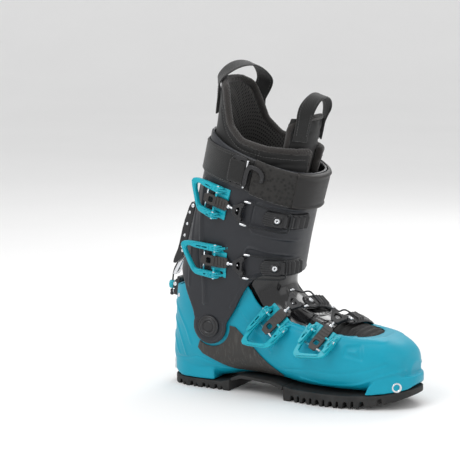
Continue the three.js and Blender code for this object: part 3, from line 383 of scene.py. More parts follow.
def felt():
    finish = Finish("footbed_felt", roughness=0.95, sheen_weight=0.4, specular_ior_level=0.15)
    fuzz = finish.noise(900, 5, 0.7)
    finish.feed(base_color=finish.mix(fuzz.over(0.3, 0.7), (0.006, 0.16, 0.24, 1), (0.015, 0.26, 0.36, 1)))
    return finish.bump(fuzz, 0.4 * MM, 0.7).material


webbing, knit_piping, mesh_lining = webbing_cloth(), knit_cloth(), spacer_mesh()
liner_cloth, strap_neoprene, footbed_felt = coated_cloth(), neoprene(), felt()
thread = moulded("thread", grey(0.05), grey(0.09), grey(0.14), 0.7, peel=0.1)
print("cloths:", [m.name for m in (webbing, knit_piping, mesh_lining, liner_cloth, strap_neoprene, footbed_felt)])

# %% [markdown]
# The big pieces are all skins of two smooth forms: the foot's form and the leg's form. Each is a loft, a
# row of rounded rings with a smooth curve drawn through their sizes. Blender has no loft tool, so the
# rings are worked out in numpy and joined with faces. The rings are superellipses, because a moulded boot
# is neither round nor square in section.

# %% Rings and lofts
LEAN = math.atan2(LEG_UP.x, LEG_UP.z)
ANKLE_HALF = 45


def leg_point(forward, up):
    """A place in the leg's own frame, in millimetres from the pivot, as millimetres in the boot's side view."""
    return (
        PIVOT.x / MM + forward * math.cos(LEAN) + up * math.sin(LEAN),
        PIVOT.z / MM - forward * math.sin(LEAN) + up * math.cos(LEAN),
    )


def smooth_through(points, count, even=False):
    """A Catmull-Rom curve through points, sampled at count places. With even, knots are a unit apart."""
    points = np.array(points, float)
    padded = np.vstack([2 * points[0] - points[1], points, 2 * points[-1] - points[-2]])
    samples = []
    for t in np.linspace(0, len(points) - 1, count):
        k = min(int(t), len(points) - 2)
        u = t - k
        p0, p1, p2, p3 = padded[k : k + 4]
        if even:
            start, end = 0.4 * (p2 - p0), 0.4 * (p3 - p1)
        else:
            d0, d1, d2 = (max(np.sum((b - a) ** 2) ** 0.25, 1e-4) for a, b in ((p0, p1), (p1, p2), (p2, p3)))
            start = ((p1 - p0) / d0 - (p2 - p0) / (d0 + d1) + (p2 - p1) / d1) * d1
            end = ((p2 - p1) / d1 - (p3 - p1) / (d1 + d2) + (p3 - p2) / d2) * d1
        samples.append(
            p1 + start * u + (3 * (p2 - p1) - 2 * start - end) * u**2 + (2 * (p1 - p2) + start + end) * u**3
        )
    return np.array(samples)


def rings(stations, rows, columns, inset=0.0):
    """Rings of (back x, back z, front x, front z, half width, middle y, roundness), in millimetres."""
    moved = []
    for index, (bx, bz, fx, fz, half, side, n) in enumerate(stations):
        length = math.hypot(fx - bx, fz - bz)
        dx, dz = (fx - bx) / length, (fz - bz) / length
        toe = inset * max(0, 1 - index / 3) if stations is FOOT_STATIONS else 0
        step = min(inset, 0.4 * length)
        moved.append(
            (bx + dx * step - toe, bz + dz * step, fx - dx * step - toe, fz - dz * step, half - min(inset, 0.7 * half), side, n)
        )
    moved = np.array(moved)
    backs, fronts = smooth_through(moved[:, 0:2], rows), smooth_through(moved[:, 2:4], rows)
    sizes = smooth_through(moved[:, 4:7] * (1, 1, 10), rows, even=True)
    angles = np.linspace(0, 2 * math.pi, columns, endpoint=False)
    grid = np.zeros((rows, columns, 3))
    for row, ((bx, bz), (fx, fz), (half, side, n)) in enumerate(zip(backs, fronts, sizes)):
        power = 20 / n
        along = (1 - np.sign(np.cos(angles)) * np.abs(np.cos(angles)) ** power) / 2
        grid[row, :, 0] = bx + (fx - bx) * along
        grid[row, :, 1] = side + half * np.sign(np.sin(angles)) * np.abs(np.sin(angles)) ** power
        grid[row, :, 2] = bz + (fz - bz) * along
    return grid * MM


TOE_MM, HEEL_MM = TOE / MM, HEEL / MM
FOOT_STATIONS = [
    (TOE_MM - 9, 28, TOE_MM - 6, 50, 15, 6, 2.3),
    (TOE_MM - 17, 20, TOE_MM - 14, 65, 32, 5, 2.5),
    (TOE_MM - 35, 16.5, TOE_MM - 32, 76, 43, 3, 2.7),
    (200, 14.8, 204, 84, 50, 1, 2.7),
    (168, 14.8, 174, 91.5, 53, -1, 2.6),
    (135, 15.5, 148, 99.5, 51, -2, 2.5),
    (100, 20, 127, 109.5, 47.5, -1, 2.5),
    (60, 19.5, 115, 119, ANKLE_HALF, 0, 2.5),
    (20, 11.5, 110.5, 128, ANKLE_HALF - 0.5, 0, 2.5),
    (-19, 11, 111.5, 137, ANKLE_HALF, 0, 2.5),
    (HEEL_MM + 1, 25, 114, 146, ANKLE_HALF, 0, 2.4),
    (HEEL_MM + 0.5, 62, 116.5, 155, ANKLE_HALF, 0, 2.3),
    (HEEL_MM + 2, 100, 119, 165, ANKLE_HALF, 0, 2.3),
    (HEEL_MM + 5, 135, 121.5, 175, ANKLE_HALF, 0, 2.3),
]
CUFF_STATIONS = [
    (*leg_point(back, up), *leg_point(front, up), half, 0, n)
    for up, back, front, half, n in (
        (-34, -63, 66, ANKLE_HALF + 5.4, 3),
        (0, -63.5, 67, ANKLE_HALF + 5.4, 3),
        (40, -65, 69, ANKLE_HALF + 5.4, 2.9),
        (80, -66, 70, ANKLE_HALF + 6, 2.7),
        (120, -66.5, 68, ANKLE_HALF + 7.5, 2.5),
        (160, -67, 67, ANKLE_HALF + 9.5, 2.4),
        (220, -68.5, 67, ANKLE_HALF + 12, 2.4),
    )
]
LINER_STATIONS = [
    (*leg_point(back, up), *leg_point(front, up), half, 0, 2.3)
    for up, back, front, half in (
        (30, -53, 53, 35.5),
        (70, -57, 55, 37.5),
        (92, -59, 55.5, 40.5),
        (120, -60.5, 56, 44.5),
        (160, -62, 57, 49),
        (204, -63.5, 58, 52),
        (240, -68, 58, 53),
        (276, -73, 56, 51),
    )
]
print("the foot's form has", len(FOOT_STATIONS), "rings and the cuff's has", len(CUFF_STATIONS))

# %% [markdown]
# A moulded shell is a form with a smaller copy of itself taken out, trimmed along an edge. The trimming is
# a boolean with an upright slab whose outline is the edge seen from the side. Raw boolean edges are knife
# sharp, and real moulded edges aren't, so the result is remeshed in small voxels and eased, which
# rounds every edge by about the size of a voxel. It also leaves even faces that can carry detail.

# %% Moulding helpers
def mesh_object(name, vertices, faces):
    mesh = bpy.data.meshes.new(name)
    mesh.from_pydata([tuple(v) for v in vertices], [], faces)
    mesh.update()
    made = bpy.data.objects.new(name, mesh)
    scene.collection.objects.link(made)
    return made


def face_out(piece):
    shape = bmesh.new()
    shape.from_mesh(piece.data)
    bmesh.ops.recalc_face_normals(shape, faces=shape.faces)
    shape.to_mesh(piece.data)
    shape.free()
    return piece


def form(name, grid, closed=True):
    """A closed skin over a grid of rings, with both ends capped."""
    rows, columns, _ = grid.shape
    around = columns if closed else columns - 1
    faces = [
        (r * columns + c, r * columns + (c + 1) % columns, (r + 1) * columns + (c + 1) % columns, (r + 1) * columns + c)
        for r in range(rows - 1)
        for c in range(around)
    ]
    faces += [tuple(range(columns)), tuple((rows - 1) * columns + c for c in range(columns))]
    return face_out(mesh_object(name, grid.reshape(-1, 3), faces))


def slab(name, outline, low=-90, high=90, rounding=2):
    """An upright slab whose outline, in millimetres, is seen from the side. Its corners are cut round."""
    points = np.array(outline, float)
    for _ in range(rounding):
        after = np.roll(points, -1, axis=0)
        points = np.stack([0.78 * points + 0.22 * after, 0.22 * points + 0.78 * after], axis=1).reshape(-1, 2)
    near = np.column_stack([points[:, 0], np.full(len(points), low), points[:, 1]])
    far = near + (0, high - low, 0)
    return form(name, np.stack([near, far]) * MM)


def bake_modifiers(piece):
    """Replaces a piece's mesh with what its modifiers make of it."""
    bpy.context.view_layer.update()
    seen = piece.evaluated_get(bpy.context.evaluated_depsgraph_get())
    baked = bpy.data.meshes.new_from_object(seen)
    piece.modifiers.clear()
    piece.data = baked
    return piece


def carve(piece, *tools, operation="DIFFERENCE"):
    """Cuts tools out of a piece, or keeps what they share, and throws the tools away."""
    for tool in tools:
        cutter = piece.modifiers.new("cut", "BOOLEAN")
        cutter.operation, cutter.solver, cutter.object = operation, "MANIFOLD", tool
        bake_modifiers(piece)
        bpy.data.objects.remove(tool)
    return piece


def even_out(piece, voxel, easing=4):
    """Rounds the edges of a piece and gives it even faces, voxel millimetres across."""
    mesher = piece.modifiers.new("voxels", "REMESH")
    mesher.mode, mesher.voxel_size = "VOXEL", voxel * MM
    ease = piece.modifiers.new("ease", "SMOOTH")
    ease.factor, ease.iterations = 0.5, easing
    return bake_modifiers(piece)


def places(piece):
    found = np.zeros(len(piece.data.vertices) * 3)
    piece.data.vertices.foreach_get("co", found)
    return found.reshape(-1, 3)


def outward(piece):
    found = np.zeros(len(piece.data.vertices) * 3)
    piece.data.vertices.foreach_get("normal", found)
    return found.reshape(-1, 3)


def put(piece, vertices):
    piece.data.vertices.foreach_set("co", np.ascontiguousarray(vertices, float).ravel())
    piece.data.update()
    return piece


def mark_edges(piece, reach=1.6):
    """Notes how sharply each vertex stands out, so that a finish can wear its edges."""
    co, normal = places(piece), outward(piece)
    pairs = np.zeros(len(piece.data.edges) * 2, int)
    piece.data.edges.foreach_get("vertices", pairs)
    a, b = pairs.reshape(-1, 2).T
    across = co[b] - co[a]
    length = np.maximum(np.linalg.norm(across, axis=1), 1e-9)
    fall_a = -(across * normal[a]).sum(1) / length
    fall_b = (across * normal[b]).sum(1) / length
    total, count = np.zeros(len(co)), np.zeros(len(co))
    for index, fall in ((a, fall_a), (b, fall_b)):
        np.add.at(total, index, fall)
        np.add.at(count, index, 1)
    sharp = np.clip(total / np.maximum(count, 1) * reach, 0, 1)
    attribute = piece.data.attributes.get("edge") or piece.data.attributes.new("edge", "FLOAT", "POINT")
    attribute.data.foreach_set("value", sharp.astype(np.float32))
    return piece


def finished(piece, material, body, smooth=True, stands_for=()):
    """Gives a piece its finish and its body, and hides the solids that it stands for."""
    piece.data.materials.clear()
    piece.data.materials.append(material)
    if piece.type == "MESH":
        piece.data.polygons.foreach_set("use_smooth", [smooth] * len(piece.data.polygons))
        mark_edges(piece)
    if body:
        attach(piece, body)
    if stands_for:
        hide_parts(*stands_for)
    return piece


print("helpers for moulded pieces are ready")

# %% [markdown]
# Raised ribs, sunk grooves and creases are part of a moulded face, so they are pushed out of the even
# mesh rather than added as pieces. Each is a line seen from the side; a vertex moves along its own normal
# by an amount that fades with its distance from the line.

# %% Embossing
def distance_to_path(points, path):
    """The least distance from each point to a polyline, both in a plane."""
    best = np.full(len(points), 1e9)
    for start, end in zip(path[:-1], path[1:]):
        start, along = np.array(start, float), np.array(end, float) - start
        share = np.clip(((points - start) @ along) / max(along @ along, 1e-9), 0, 1)
        best = np.minimum(best, np.linalg.norm(points - start - share[:, None] * along, axis=1))
    return best


def emboss(piece, path, width, height, side=0, round_path=True):
    """Raises a soft rib, or with a negative height sinks a groove, on the outside of one or both sides."""
    if round_path and len(path) > 2:
        path = [tuple(p) for p in smooth_through(path, len(path) * 6)]
    co, normal = places(piece), outward(piece)
    away = distance_to_path(co[:, (0, 2)] / MM, path) / width
    facing = normal[:, 1] * np.sign(co[:, 1])
    push = height * np.exp(-(away**4)) * np.clip(facing * 4 - 0.4, 0, 1)
    if side:
        push = push * (co[:, 1] * side > 0)
    return put(piece, co + normal * push[:, None] * MM)


def on_leg(*pairs):
    return [leg_point(f, h) for f, h in pairs]


print("ribs and grooves can be pressed into a skin")

# %% [markdown]
# The lower shell holds the foot. Its form is the foot's form; the opening runs from over the toes, back
# along the instep and round the heel, and flat welts at the toe and heel take the ski's binding. The
# welts are slabs of the sole's own outline joined to the form before the hollow is taken out.

# %% The lower shell
WALL = 4.0
GAP = 0.4
SOLE_EDGE = [
    (HEEL_MM, 0), (HEEL_MM + 5, -20), (-18, -32), (8, -35), (45, -36), (90, -42), (130, -49), (165, -52.5),
    (200, -50), (230, -40), (250, -27), (261, -11), (TOE_MM, 5), (260, 21), (247, 34), (228, 43), (195, 48.5),
    (160, 48), (120, 42), (80, 37), (40, 35), (8, 34.5), (-18, 31.5), (HEEL_MM + 5, 20),
]
HEEL_RUBBER, FORE_RUBBER, ARCH_TOP = 10.5, 15, 21
UNDER_SHELL = [
    (HEEL_MM - 8, HEEL_RUBBER), (34, HEEL_RUBBER), (46, ARCH_TOP - 5), (58, ARCH_TOP), (100, ARCH_TOP - 1),
    (118, FORE_RUBBER + 2), (128, FORE_RUBBER), (190, FORE_RUBBER), (230, FORE_RUBBER + 2), (TOE_MM + 6, FORE_RUBBER + 9),
]
SHELL_EDGE = [
    (231, 76.5), (214, 77.5), (197, 78.5), (164, 82), (134, 88), (106, 94), (90, 99.5), (80, 110), (72.5, 124.5),
    (62, 132.5), (46, 136), (24, 134.5), (0, 127), (-20, 117), (HEEL_MM - 8, 113),
]


def sole_plan(name, inset, low, high, count=150):
    """An upright slab of the sole's outline seen from above, inset from its edge."""
    wrapped = SOLE_EDGE[-2:] + SOLE_EDGE + SOLE_EDGE[:3]
    line = smooth_through(wrapped, count + 40)
    per_point = (len(line) - 1) / (len(wrapped) - 1)
    line = line[round(2 * per_point) : round((2 + len(SOLE_EDGE)) * per_point)]
    ahead = np.roll(line, -1, axis=0) - np.roll(line, 1, axis=0)
    ahead /= np.linalg.norm(ahead, axis=1)[:, None]
    line = line + np.column_stack([-ahead[:, 1], ahead[:, 0]]) * inset
    low_ring = np.column_stack([line, np.full(len(line), low)])
    high_ring = np.column_stack([line, np.full(len(line), high)])
    return form(name, np.stack([low_ring, high_ring]) * MM)


def foot_form(name, inset, rows=150, columns=180):
    return form(name, rings(FOOT_STATIONS, rows, columns, inset))


shell = foot_form("boot_shell", 0)
heel_welt = carve(sole_plan("heel_welt", 0.6, 5, 31), slab("t", [(-60, 0), (27, 0), (22, 40), (-60, 40)]), operation="INTERSECT")
toe_welt = carve(sole_plan("toe_welt", 0.6, 5, 36.5), slab("t", [(214, 0), (280, 0), (280, 60), (234, 38), (218, 26)]), operation="INTERSECT")
carve(shell, heel_welt, toe_welt, operation="UNION")
shell_keep = [(x, z + GAP) for x, z in UNDER_SHELL] + [(TOE_MM + 6, 120), (244, 120)] + SHELL_EDGE
carve(shell, slab("t", shell_keep, rounding=2), operation="INTERSECT")
carve(shell, foot_form("hollow", WALL))
even_out(shell, 1.35, 5)
print("the shell has", len(shell.data.vertices), "vertices")

# %% [markdown]
# The mould's styling lines come next: creases fan down from the heel, a ledge runs round the toe box, and
# a shallow triangle is sunk beside the toe buckle. The lip of the opening is rolled slightly outwards.

# %% Lines on the shell
HEEL_CREASES = [
    [(-33, 96), (-22, 84), (-8, 66), (-2, 52)],
    [(-35, 78), (-24, 66), (-14, 50), (-10, 38)],
    [(-36, 60), (-28, 50), (-22, 38)],
]
for crease in HEEL_CREASES:
    emboss(shell, crease, 1.5, 0.9)
emboss(shell, [(-30, 33), (-10, 34), (6, 38), (30, 30), (60, 25)], 1.2, -0.7)
emboss(shell, [(140, 28), (170, 24), (205, 27), (232, 38), (252, 44)], 1.6, 0.9)
emboss(shell, [(120, 36), (150, 40), (185, 39), (215, 44), (238, 52)], 1.3, -0.5)
emboss(shell, [(196, 62), (212, 58), (209, 69), (197, 68), (196, 62)], 3.0, -1.6, side=-1, round_path=False)
emboss(shell, [(62, 100), (76, 84), (92, 70), (104, 54)], 1.4, 0.8)
emboss(shell, [(p[0], p[1] - 2.5) for p in SHELL_EDGE[:10]], 1.5, 0.6)
finished(shell, shell_blue, "root", stands_for=["lower_shell"])

# %% [markdown]
# Two stiffening panels lie on the shell from the arch to the cuff's bolt. They follow the same form a
# millimetre and a half proud of it, and leave a round window for the tip of the cuff.

# %% The stiffening panels
PANEL = [(54.5, 81), (69.5, 67.5), (93, 45), (116, 26), (112, 24.5), (56, 25.5), (40, 31), (7, 46), (13, 62), (24, 74)]
TIP_WINDOW = 24


def circle_points(x, z, radius, count=28, start=0.0, end=360.0):
    steps = np.radians(np.linspace(start, end, count, endpoint=end - start < 360))
    return [(x + radius * math.cos(a), z + radius * math.sin(a)) for a in steps]


for side, name in ((-1, "lateral"), (1, "medial")):
    panel = carve(foot_form(f"panel_{name}", -1.5), foot_form("t", -GAP))
    low, high = (-90, 0) if side < 0 else (0, 90)
    carve(panel, slab("t", PANEL, low, high, rounding=1), operation="INTERSECT")
    window = circle_points(PIVOT.x / MM, PIVOT.z / MM, TIP_WINDOW)
    carve(panel, slab("t", window, rounding=0))
    even_out(panel, 0.55, 2)
    finished(panel, stiffener_grey, "root", stands_for=[f"stiffener_{name}"])
print("two panels lie on the shell")

# %% [markdown]
# The outsole is three blocks of rubber: a heel block, an arch strip and a forefoot block whose tread
# rolls up at the toe. Lugs are what is left when notches are cut across the underside and into the rim.

# %% The soles
TREAD_RISE = [(186, 0), (215, 2.5), (245, 9), (TOE_MM + 6, 18)]


def ground(x):
    return float(np.interp(x, [p[0] for p in TREAD_RISE], [p[1] for p in TREAD_RISE]))


def tread(first, last, top, notches, depth):
    """The side view of a sole block: a tread with notches, and the top that meets the shell."""
    line = [(first, ground(first))]
    for start, width in notches:
        for at, deep in ((start, 0), (start + 1.2, depth), (start + width - 1.2, depth), (start + width, 0)):
            line.append((at, ground(at) + deep))
    line += [(x, z) for x, z in TREAD_RISE if notches[-1][0] + 8 < x < last]
    return line + [(last, ground(last))] + top


def rim_notches(piece, spots, side_reach, wide=3.2, tall=7):
    """Cuts small upright notches into both rims of a sole, between the lugs."""
    for x in spots:
        for side in (-1, 1):
            low, high = (-70, -side_reach) if side < 0 else (side_reach, 70)
            z = ground(x)
            cut = [(x - wide / 2, z - 2), (x + wide / 2, z - 2), (x + wide / 2 - 0.6, z + tall), (x - wide / 2 + 0.6, z + tall)]
            carve(piece, slab("t", cut, low, high, rounding=0))


heel_top = [(44, HEEL_RUBBER + 2.4), (33, HEEL_RUBBER - GAP), (HEEL_MM - 4, HEEL_RUBBER - GAP)]
heel_notches = [(-24, 5.5), (-8, 5), (8, 5), (24, 5)]
sole_heel = carve(sole_plan("heel_block", 1.2, -1, 30), slab("t", tread(HEEL_MM - 4, 44, heel_top, heel_notches, 6), rounding=0), operation="INTERSECT")
rim_notches(sole_heel, (-15, 1, 17, 34), 29, 3, 4.5)
fore_top = [(x, z - GAP) for x, z in UNDER_SHELL if x >= 118][::-1]
fore_notches = [(x, 6) for x in (127, 143, 159, 175, 192, 210, 228)]
sole_fore = carve(sole_plan("forefoot_block", 1.2, -1, 40), slab("t", tread(118, TOE_MM + 4, fore_top, fore_notches, 7), rounding=0), operation="INTERSECT")
rim_notches(sole_fore, (138, 154, 170, 186, 203), 40, 3.4, 8)
arch_top = [(x, z - GAP) for x, z in UNDER_SHELL if 44 < x < 110][::-1]
arch_side = [(46.6, 12), (60, ARCH_TOP - 4.5), (99, ARCH_TOP - 5), (117.4, 12), (117.4, FORE_RUBBER + 1.2)] + arch_top
sole_arch = carve(sole_plan("arch_strip", 1, -1, 40), slab("t", arch_side, rounding=0), operation="INTERSECT")
for block, node in ((sole_heel, "sole_heel"), (sole_fore, "sole_forefoot"), (sole_arch, "sole_arch")):
    even_out(block, 0.95, 2)
    low_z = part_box(node)[0].z
    vertices = places(block)
    vertices[:, 2] = np.maximum(vertices[:, 2], low_z)
    put(block, vertices)
    finished(block, sole_rubber, "root", stands_for=[node])
print("the sole's lugs are", 6, "mm deep at the heel and", 7, "mm at the forefoot")

# %% [markdown]
# The cuff is the leg's form hollowed out. Its lower edge is cut to a rounded tip round each bolt, high in
# front so the ankle can bend, and lower behind, where a slot lets the lock bar reach the catch.

# %% The cuff
CUFF_WALL = 3.5
CUFF_TOP = 206
TIP_R = 21
CUFF_EDGE = (
    [(-90, 47), (-61, 47), (-48, 37), (-41, 28), (-28, 14)]
    + circle_points(0, 0, TIP_R, 15, 172, 385)
    + [(25, 26), (31, 54), (40, 72), (54, 80), (90, 80), (90, CUFF_TOP - 8), (20, CUFF_TOP - 5), (-30, CUFF_TOP)]
    + [(-50, CUFF_TOP + 6), (-90, CUFF_TOP + 6)]
)


def cuff_form(name, inset, rows=130, columns=180):
    return form(name, rings(CUFF_STATIONS, rows, columns, inset))


cuff = carve(cuff_form("boot_cuff", 0), cuff_form("t", CUFF_WALL))
carve(cuff, slab("t", on_leg(*CUFF_EDGE), rounding=2), operation="INTERSECT")
carve(cuff, slab("t", on_leg((-95, 30), (-40, 30), (-40, 66), (-95, 66)), -15, 15, rounding=1))
carve(cuff, slab("t", circle_points(PIVOT.x / MM, PIVOT.z / MM, 7.4), rounding=0))
even_out(cuff, 1.15, 5)
print("the cuff has", len(cuff.data.vertices), "vertices")

# %% [markdown]
# The cuff carries many low ribs: one line drops from behind the strap to the bolt, rounded frames stand
# round the two buckle racks, the tip has a rim, and the back is braced by a long cross and an arch.

# %% Ribs on the cuff
def rounded_frame(left, right, low, high, corner=6):
    corners = ((right - corner, high - corner, 0), (left + corner, high - corner, 90), (left + corner, low + corner, 180), (right - corner, low + corner, 270))
    line = [p for x, z, start in corners for p in circle_points(x, z, corner, 5, start, start + 90)]
    return line + line[:1]


emboss(cuff, on_leg((-50, 158), (-44, 120), (-30, 76), (-18, 44), (-12, 24)), 2.6, 2.0)
emboss(cuff, on_leg((-62, 150), (-54, 100), (-44, 60), (-38, 36)), 1.6, 1.0)
for low, high in ((121, 156), (66, 104)):
    emboss(cuff, on_leg(*rounded_frame(22, 74, low, high)), 1.3, 1.1, side=-1, round_path=False)
emboss(cuff, on_leg(*circle_points(0, 0, TIP_R - 3.5, 22, 165, 390)), 1.1, 0.6, round_path=False)
emboss(cuff, on_leg((20, 30), (27, 56), (37, 75), (52, 83), (66, 84)), 1.4, 0.7)
emboss(cuff, on_leg((-58, 158), (-20, 100), (4, 40)), 1.8, 1.2, side=1)
emboss(cuff, on_leg((-58, 70), (-22, 112), (10, 158)), 1.5, 0.9, side=1)


def emboss_back(piece, path, width, height):
    """The same as emboss, for lines on the back of the leg, given as (y, height up the leg)."""
    co, normal = places(piece), outward(piece)
    up = (co - np.array(PIVOT)) @ np.array(LEG_UP) / MM
    away = distance_to_path(np.column_stack([co[:, 1] / MM, up]), path) / width
    facing = -(normal @ np.array(LEG_FORWARD))
    push = height * np.exp(-(away**4)) * np.clip(facing * 3 - 0.5, 0, 1)
    return put(piece, co + normal * push[:, None] * MM)


emboss_back(cuff, circle_points(0, 128, 24, 20, 15, 165) + [(-24, 100), (-20, 66)], 1.4, 1.0)
emboss_back(cuff, [(24, 132), (24, 100), (20, 66)], 1.4, 1.0)
emboss_back(cuff, circle_points(0, 176, 20, 16, 20, 160), 1.7, -1.4)
finished(cuff, cuff_grey, "cuff", stands_for=["cuff"])

# %% [markdown]
# The tongue closes the instep. It is a thin, polished shell that slides inside the lower shell, and on the
# real boot its upper half bends as the cuff swings. Here it is one piece attached to no body. Polish
# shows every flaw, so its voxels are small and it is eased for longer.

# %% The tongue
def round_pivot(degrees, radius):
    angle = math.radians(degrees)
    return (PIVOT.x / MM + radius * math.cos(angle), PIVOT.z / MM + radius * math.sin(angle))


def emboss_top(piece, path, width, height):
    """The same as emboss, for lines on top of the foot, given as (x, y)."""
    co, normal = places(piece), outward(piece)
    line = [tuple(p) for p in smooth_through(path, len(path) * 6)] if len(path) > 2 else path
    away = distance_to_path(co[:, :2] / MM, line) / width
    push = height * np.exp(-(away**4)) * np.clip(normal[:, 2] * 3 - 0.6, 0, 1)
    return put(piece, co + normal * push[:, None] * MM)


TONGUE = [(172, 72), (134, 78), (106, 84), round_pivot(17, 66), round_pivot(56, 72), round_pivot(44, 150), round_pivot(17, 130), (172, 130)]
TONGUE_IN, TONGUE_SHEET = WALL + GAP, 2.4
tongue = carve(foot_form("boot_tongue", TONGUE_IN), foot_form("t", TONGUE_IN + TONGUE_SHEET))
carve(tongue, slab("t", TONGUE, rounding=1), operation="INTERSECT")
even_out(tongue, 0.8, 8)
for y in (-17, 17):
    emboss_top(tongue, [(88, y * 0.7), (120, y), (150, y * 1.15), (171, y * 1.2)], 1.5, 1.0)
for x, reach in ((163, 26), (150, 22), (137, 18), (104, 14), (97, 14)):
    emboss_top(tongue, [(x - 5, -reach), (x, -reach / 2), (x + 1.5, 0), (x, reach / 2), (x - 5, reach)], 1.3, 0.9)
finished(tongue, gloss_black, None, stands_for=["tongue", "tongue_flex"])
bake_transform(tongue)
print("the tongue has", len(tongue.data.vertices), "vertices")

# %% [markdown]
# Over the toes the shell's slot is closed by a soft rubber gaiter, moulded in pleats so that it can
# stretch. The pleats are a wave that lifts both of its faces together.

# %% The toe gaiter
gaiter = carve(foot_form("toe_gaiter", TONGUE_IN), foot_form("t", TONGUE_IN + TONGUE_SHEET))
carve(gaiter, slab("t", [(172 + GAP, 72), (172 + GAP, 130), (231, 130), (233, 60), (205, 68)], rounding=0), operation="INTERSECT")
even_out(gaiter, 0.8, 4)
gaiter_places = places(gaiter)
PLEAT = 7.5
pleats = 0.9 * np.sin(gaiter_places[:, 0] / MM / PLEAT * 2 * math.pi) * np.clip((232 - gaiter_places[:, 0] / MM) / 6, 0, 1)
pleats *= np.clip((gaiter_places[:, 0] / MM - 174) / 4, 0, 1)
gaiter_places[:, 2] += pleats * MM
put(gaiter, gaiter_places)
finished(gaiter, soft_rubber, "root", stands_for=["toe_cover"])

# %% [markdown]
# The leg's skins are easier to dress by angle and height than by x, y and z. A Sleeve knows the skin of a
# loft: the angle runs from 0 behind, through 90 on the inner side, to 180 in front, and the height runs
# up the leg. Straps, seams and piping are then drawn on it.

# %% The sleeve
class Sleeve:
    """The skin of a leg form, by angle round it in degrees and height up the leg in millimetres."""

    def __init__(self, stations, inset=0.0):
        self.grid = rings(stations, 200, 360, inset)
        self.height = (self.grid - np.array(PIVOT)) @ np.array(LEG_UP) / MM
        self.forward = (self.grid - np.array(PIVOT)) @ np.array(LEG_FORWARD) / MM
        rise = np.gradient(self.grid, axis=0)
        turn = np.roll(self.grid, -1, axis=1) - np.roll(self.grid, 1, axis=1)
        normal = np.cross(turn, rise)
        middle = self.grid.mean(axis=1, keepdims=True)
        normal *= np.sign(((self.grid - middle) * normal).sum(2, keepdims=True))
        self.normal = normal / np.maximum(np.linalg.norm(normal, axis=2, keepdims=True), 1e-12)

    def at(self, angle, up, lift=0.0):
        point, out = np.zeros(3), np.zeros(3)
        first = math.floor(angle)
        for column, share in ((first % 360, 1 - (angle - first)), ((first + 1) % 360, angle - first)):
            row = np.interp(up, self.height[:, column], np.arange(200))
            k = min(int(row), 198)
            u = row - k
            point += share * (self.grid[k, column] * (1 - u) + self.grid[k + 1, column] * u)
            out += share * (self.normal[k, column] * (1 - u) + self.normal[k + 1, column] * u)
        return point + out / np.linalg.norm(out) * lift * MM

    def angle(self, forward, up, side):
        """The angle at which the skin has that forward distance, on the outer (-1) or inner (1) side."""
        columns = range(181, 360) if side < 0 else range(1, 180)
        return min(columns, key=lambda c: abs(np.interp(up, self.height[:, c], self.forward[:, c]) - forward))

    def seat(self, forward, up, side, lift=0.0):
        """A frame on the skin: x forward along it, y up the leg, z out of it."""
        angle = self.angle(forward, up, side)
        here = Vector(self.at(angle, up, lift))
        ahead = Vector(self.at(angle - side * -4, up, lift)) - here
        rise = (Vector(self.at(angle, up + 4, lift)) - here).normalized()
        ahead = ahead if ahead.dot(LEG_FORWARD) > 0 else -ahead
        ahead = (ahead - rise * ahead.dot(rise)).normalized()
        out = ahead.cross(rise)
        matrix = Matrix((ahead, rise, out)).transposed().to_4x4()
        return Matrix.Translation(here) @ matrix


cuff_skin = Sleeve(CUFF_STATIONS)
liner_skin = Sleeve(LINER_STATIONS)
print("at 184 mm up the leg the cuff is", round(2 * abs(cuff_skin.at(270, 184)[1]) / MM, 1), "mm wide")

# %% [markdown]
# The liner is foam under a coated cloth. Its shaft stands well above the cuff behind, dips at the sides
# and is split in front for its own tongue. Foam never lies flat, so between its seams the skin is puffed
# out a little, and the seams themselves are sunk.

# %% The liner's shaft
SHAFT_FOAM = 8
LINER_TOP = [(-95, 268), (-70, 267), (-58, 262), (-48, 246), (-36, 226), (-14, 214), (12, 213), (50, 218), (95, 222)]
liner = carve(form("liner_shaft_soft", rings(LINER_STATIONS, 110, 160)), form("t", rings(LINER_STATIONS, 100, 140, SHAFT_FOAM)))
carve(liner, slab("t", on_leg((-95, 34), (95, 34), *LINER_TOP[::-1]), rounding=1), operation="INTERSECT")
LINER_SLIT = [(-20, 330), (20, 330), (15, 262), (7, 200), (-7, 200), (-15, 262)]
slit = form("t", np.array([[(x, y, z) for y, z in LINER_SLIT] for x in (88, 185)], float) * MM)
carve(liner, slit)
even_out(liner, 1.5, 6)
SIDE_SEAMS = [
    [(4, 120), (5, 170), (4, 212)],
    [(9, 120), (10, 170), (9, 212)],
    [(-60, 196), (-34, 202), (4, 198)],
    [(-50, 240), (-30, 214), (4, 205)],
]
co, normal = places(liner), outward(liner)
spread = co - np.array(PIVOT)
up_leg, along_leg = spread @ np.array(LEG_UP) / MM, spread @ np.array(LEG_FORWARD) / MM
puff = 1.0 * np.sin(up_leg / 17) * np.sin(np.arctan2(co[:, 1] / MM, along_leg) * 5)
put(liner, co + normal * (puff * np.clip(up_leg - 150, 0, 20) / 20 * 0.7)[:, None] * MM)
for seam in SIDE_SEAMS:
    emboss(liner, on_leg(*seam), 1.5, -1.1)
emboss(liner, on_leg((20, 196), (40, 204), (56, 206)), 2.0, -0.8)
emboss(liner, on_leg((16, 206), (36, 212), (54, 214)), 1.2, -0.6)
finished(liner, liner_cloth, None, stands_for=["liner_shaft", "liner_ankle"])
liner.data.materials.append(mesh_lining)


def line_inside(piece, axis_forward):
    """Gives the faces that look inwards, towards the leg, the lining's finish."""
    for face in piece.data.polygons:
        centre = face.center - PIVOT
        on_axis = PIVOT + LEG_UP * centre.dot(LEG_UP) + LEG_FORWARD * axis_forward * MM
        inwards = (on_axis - face.center).normalized()
        if face.normal.dot(inwards) > 0.35:
            face.material_index = 1


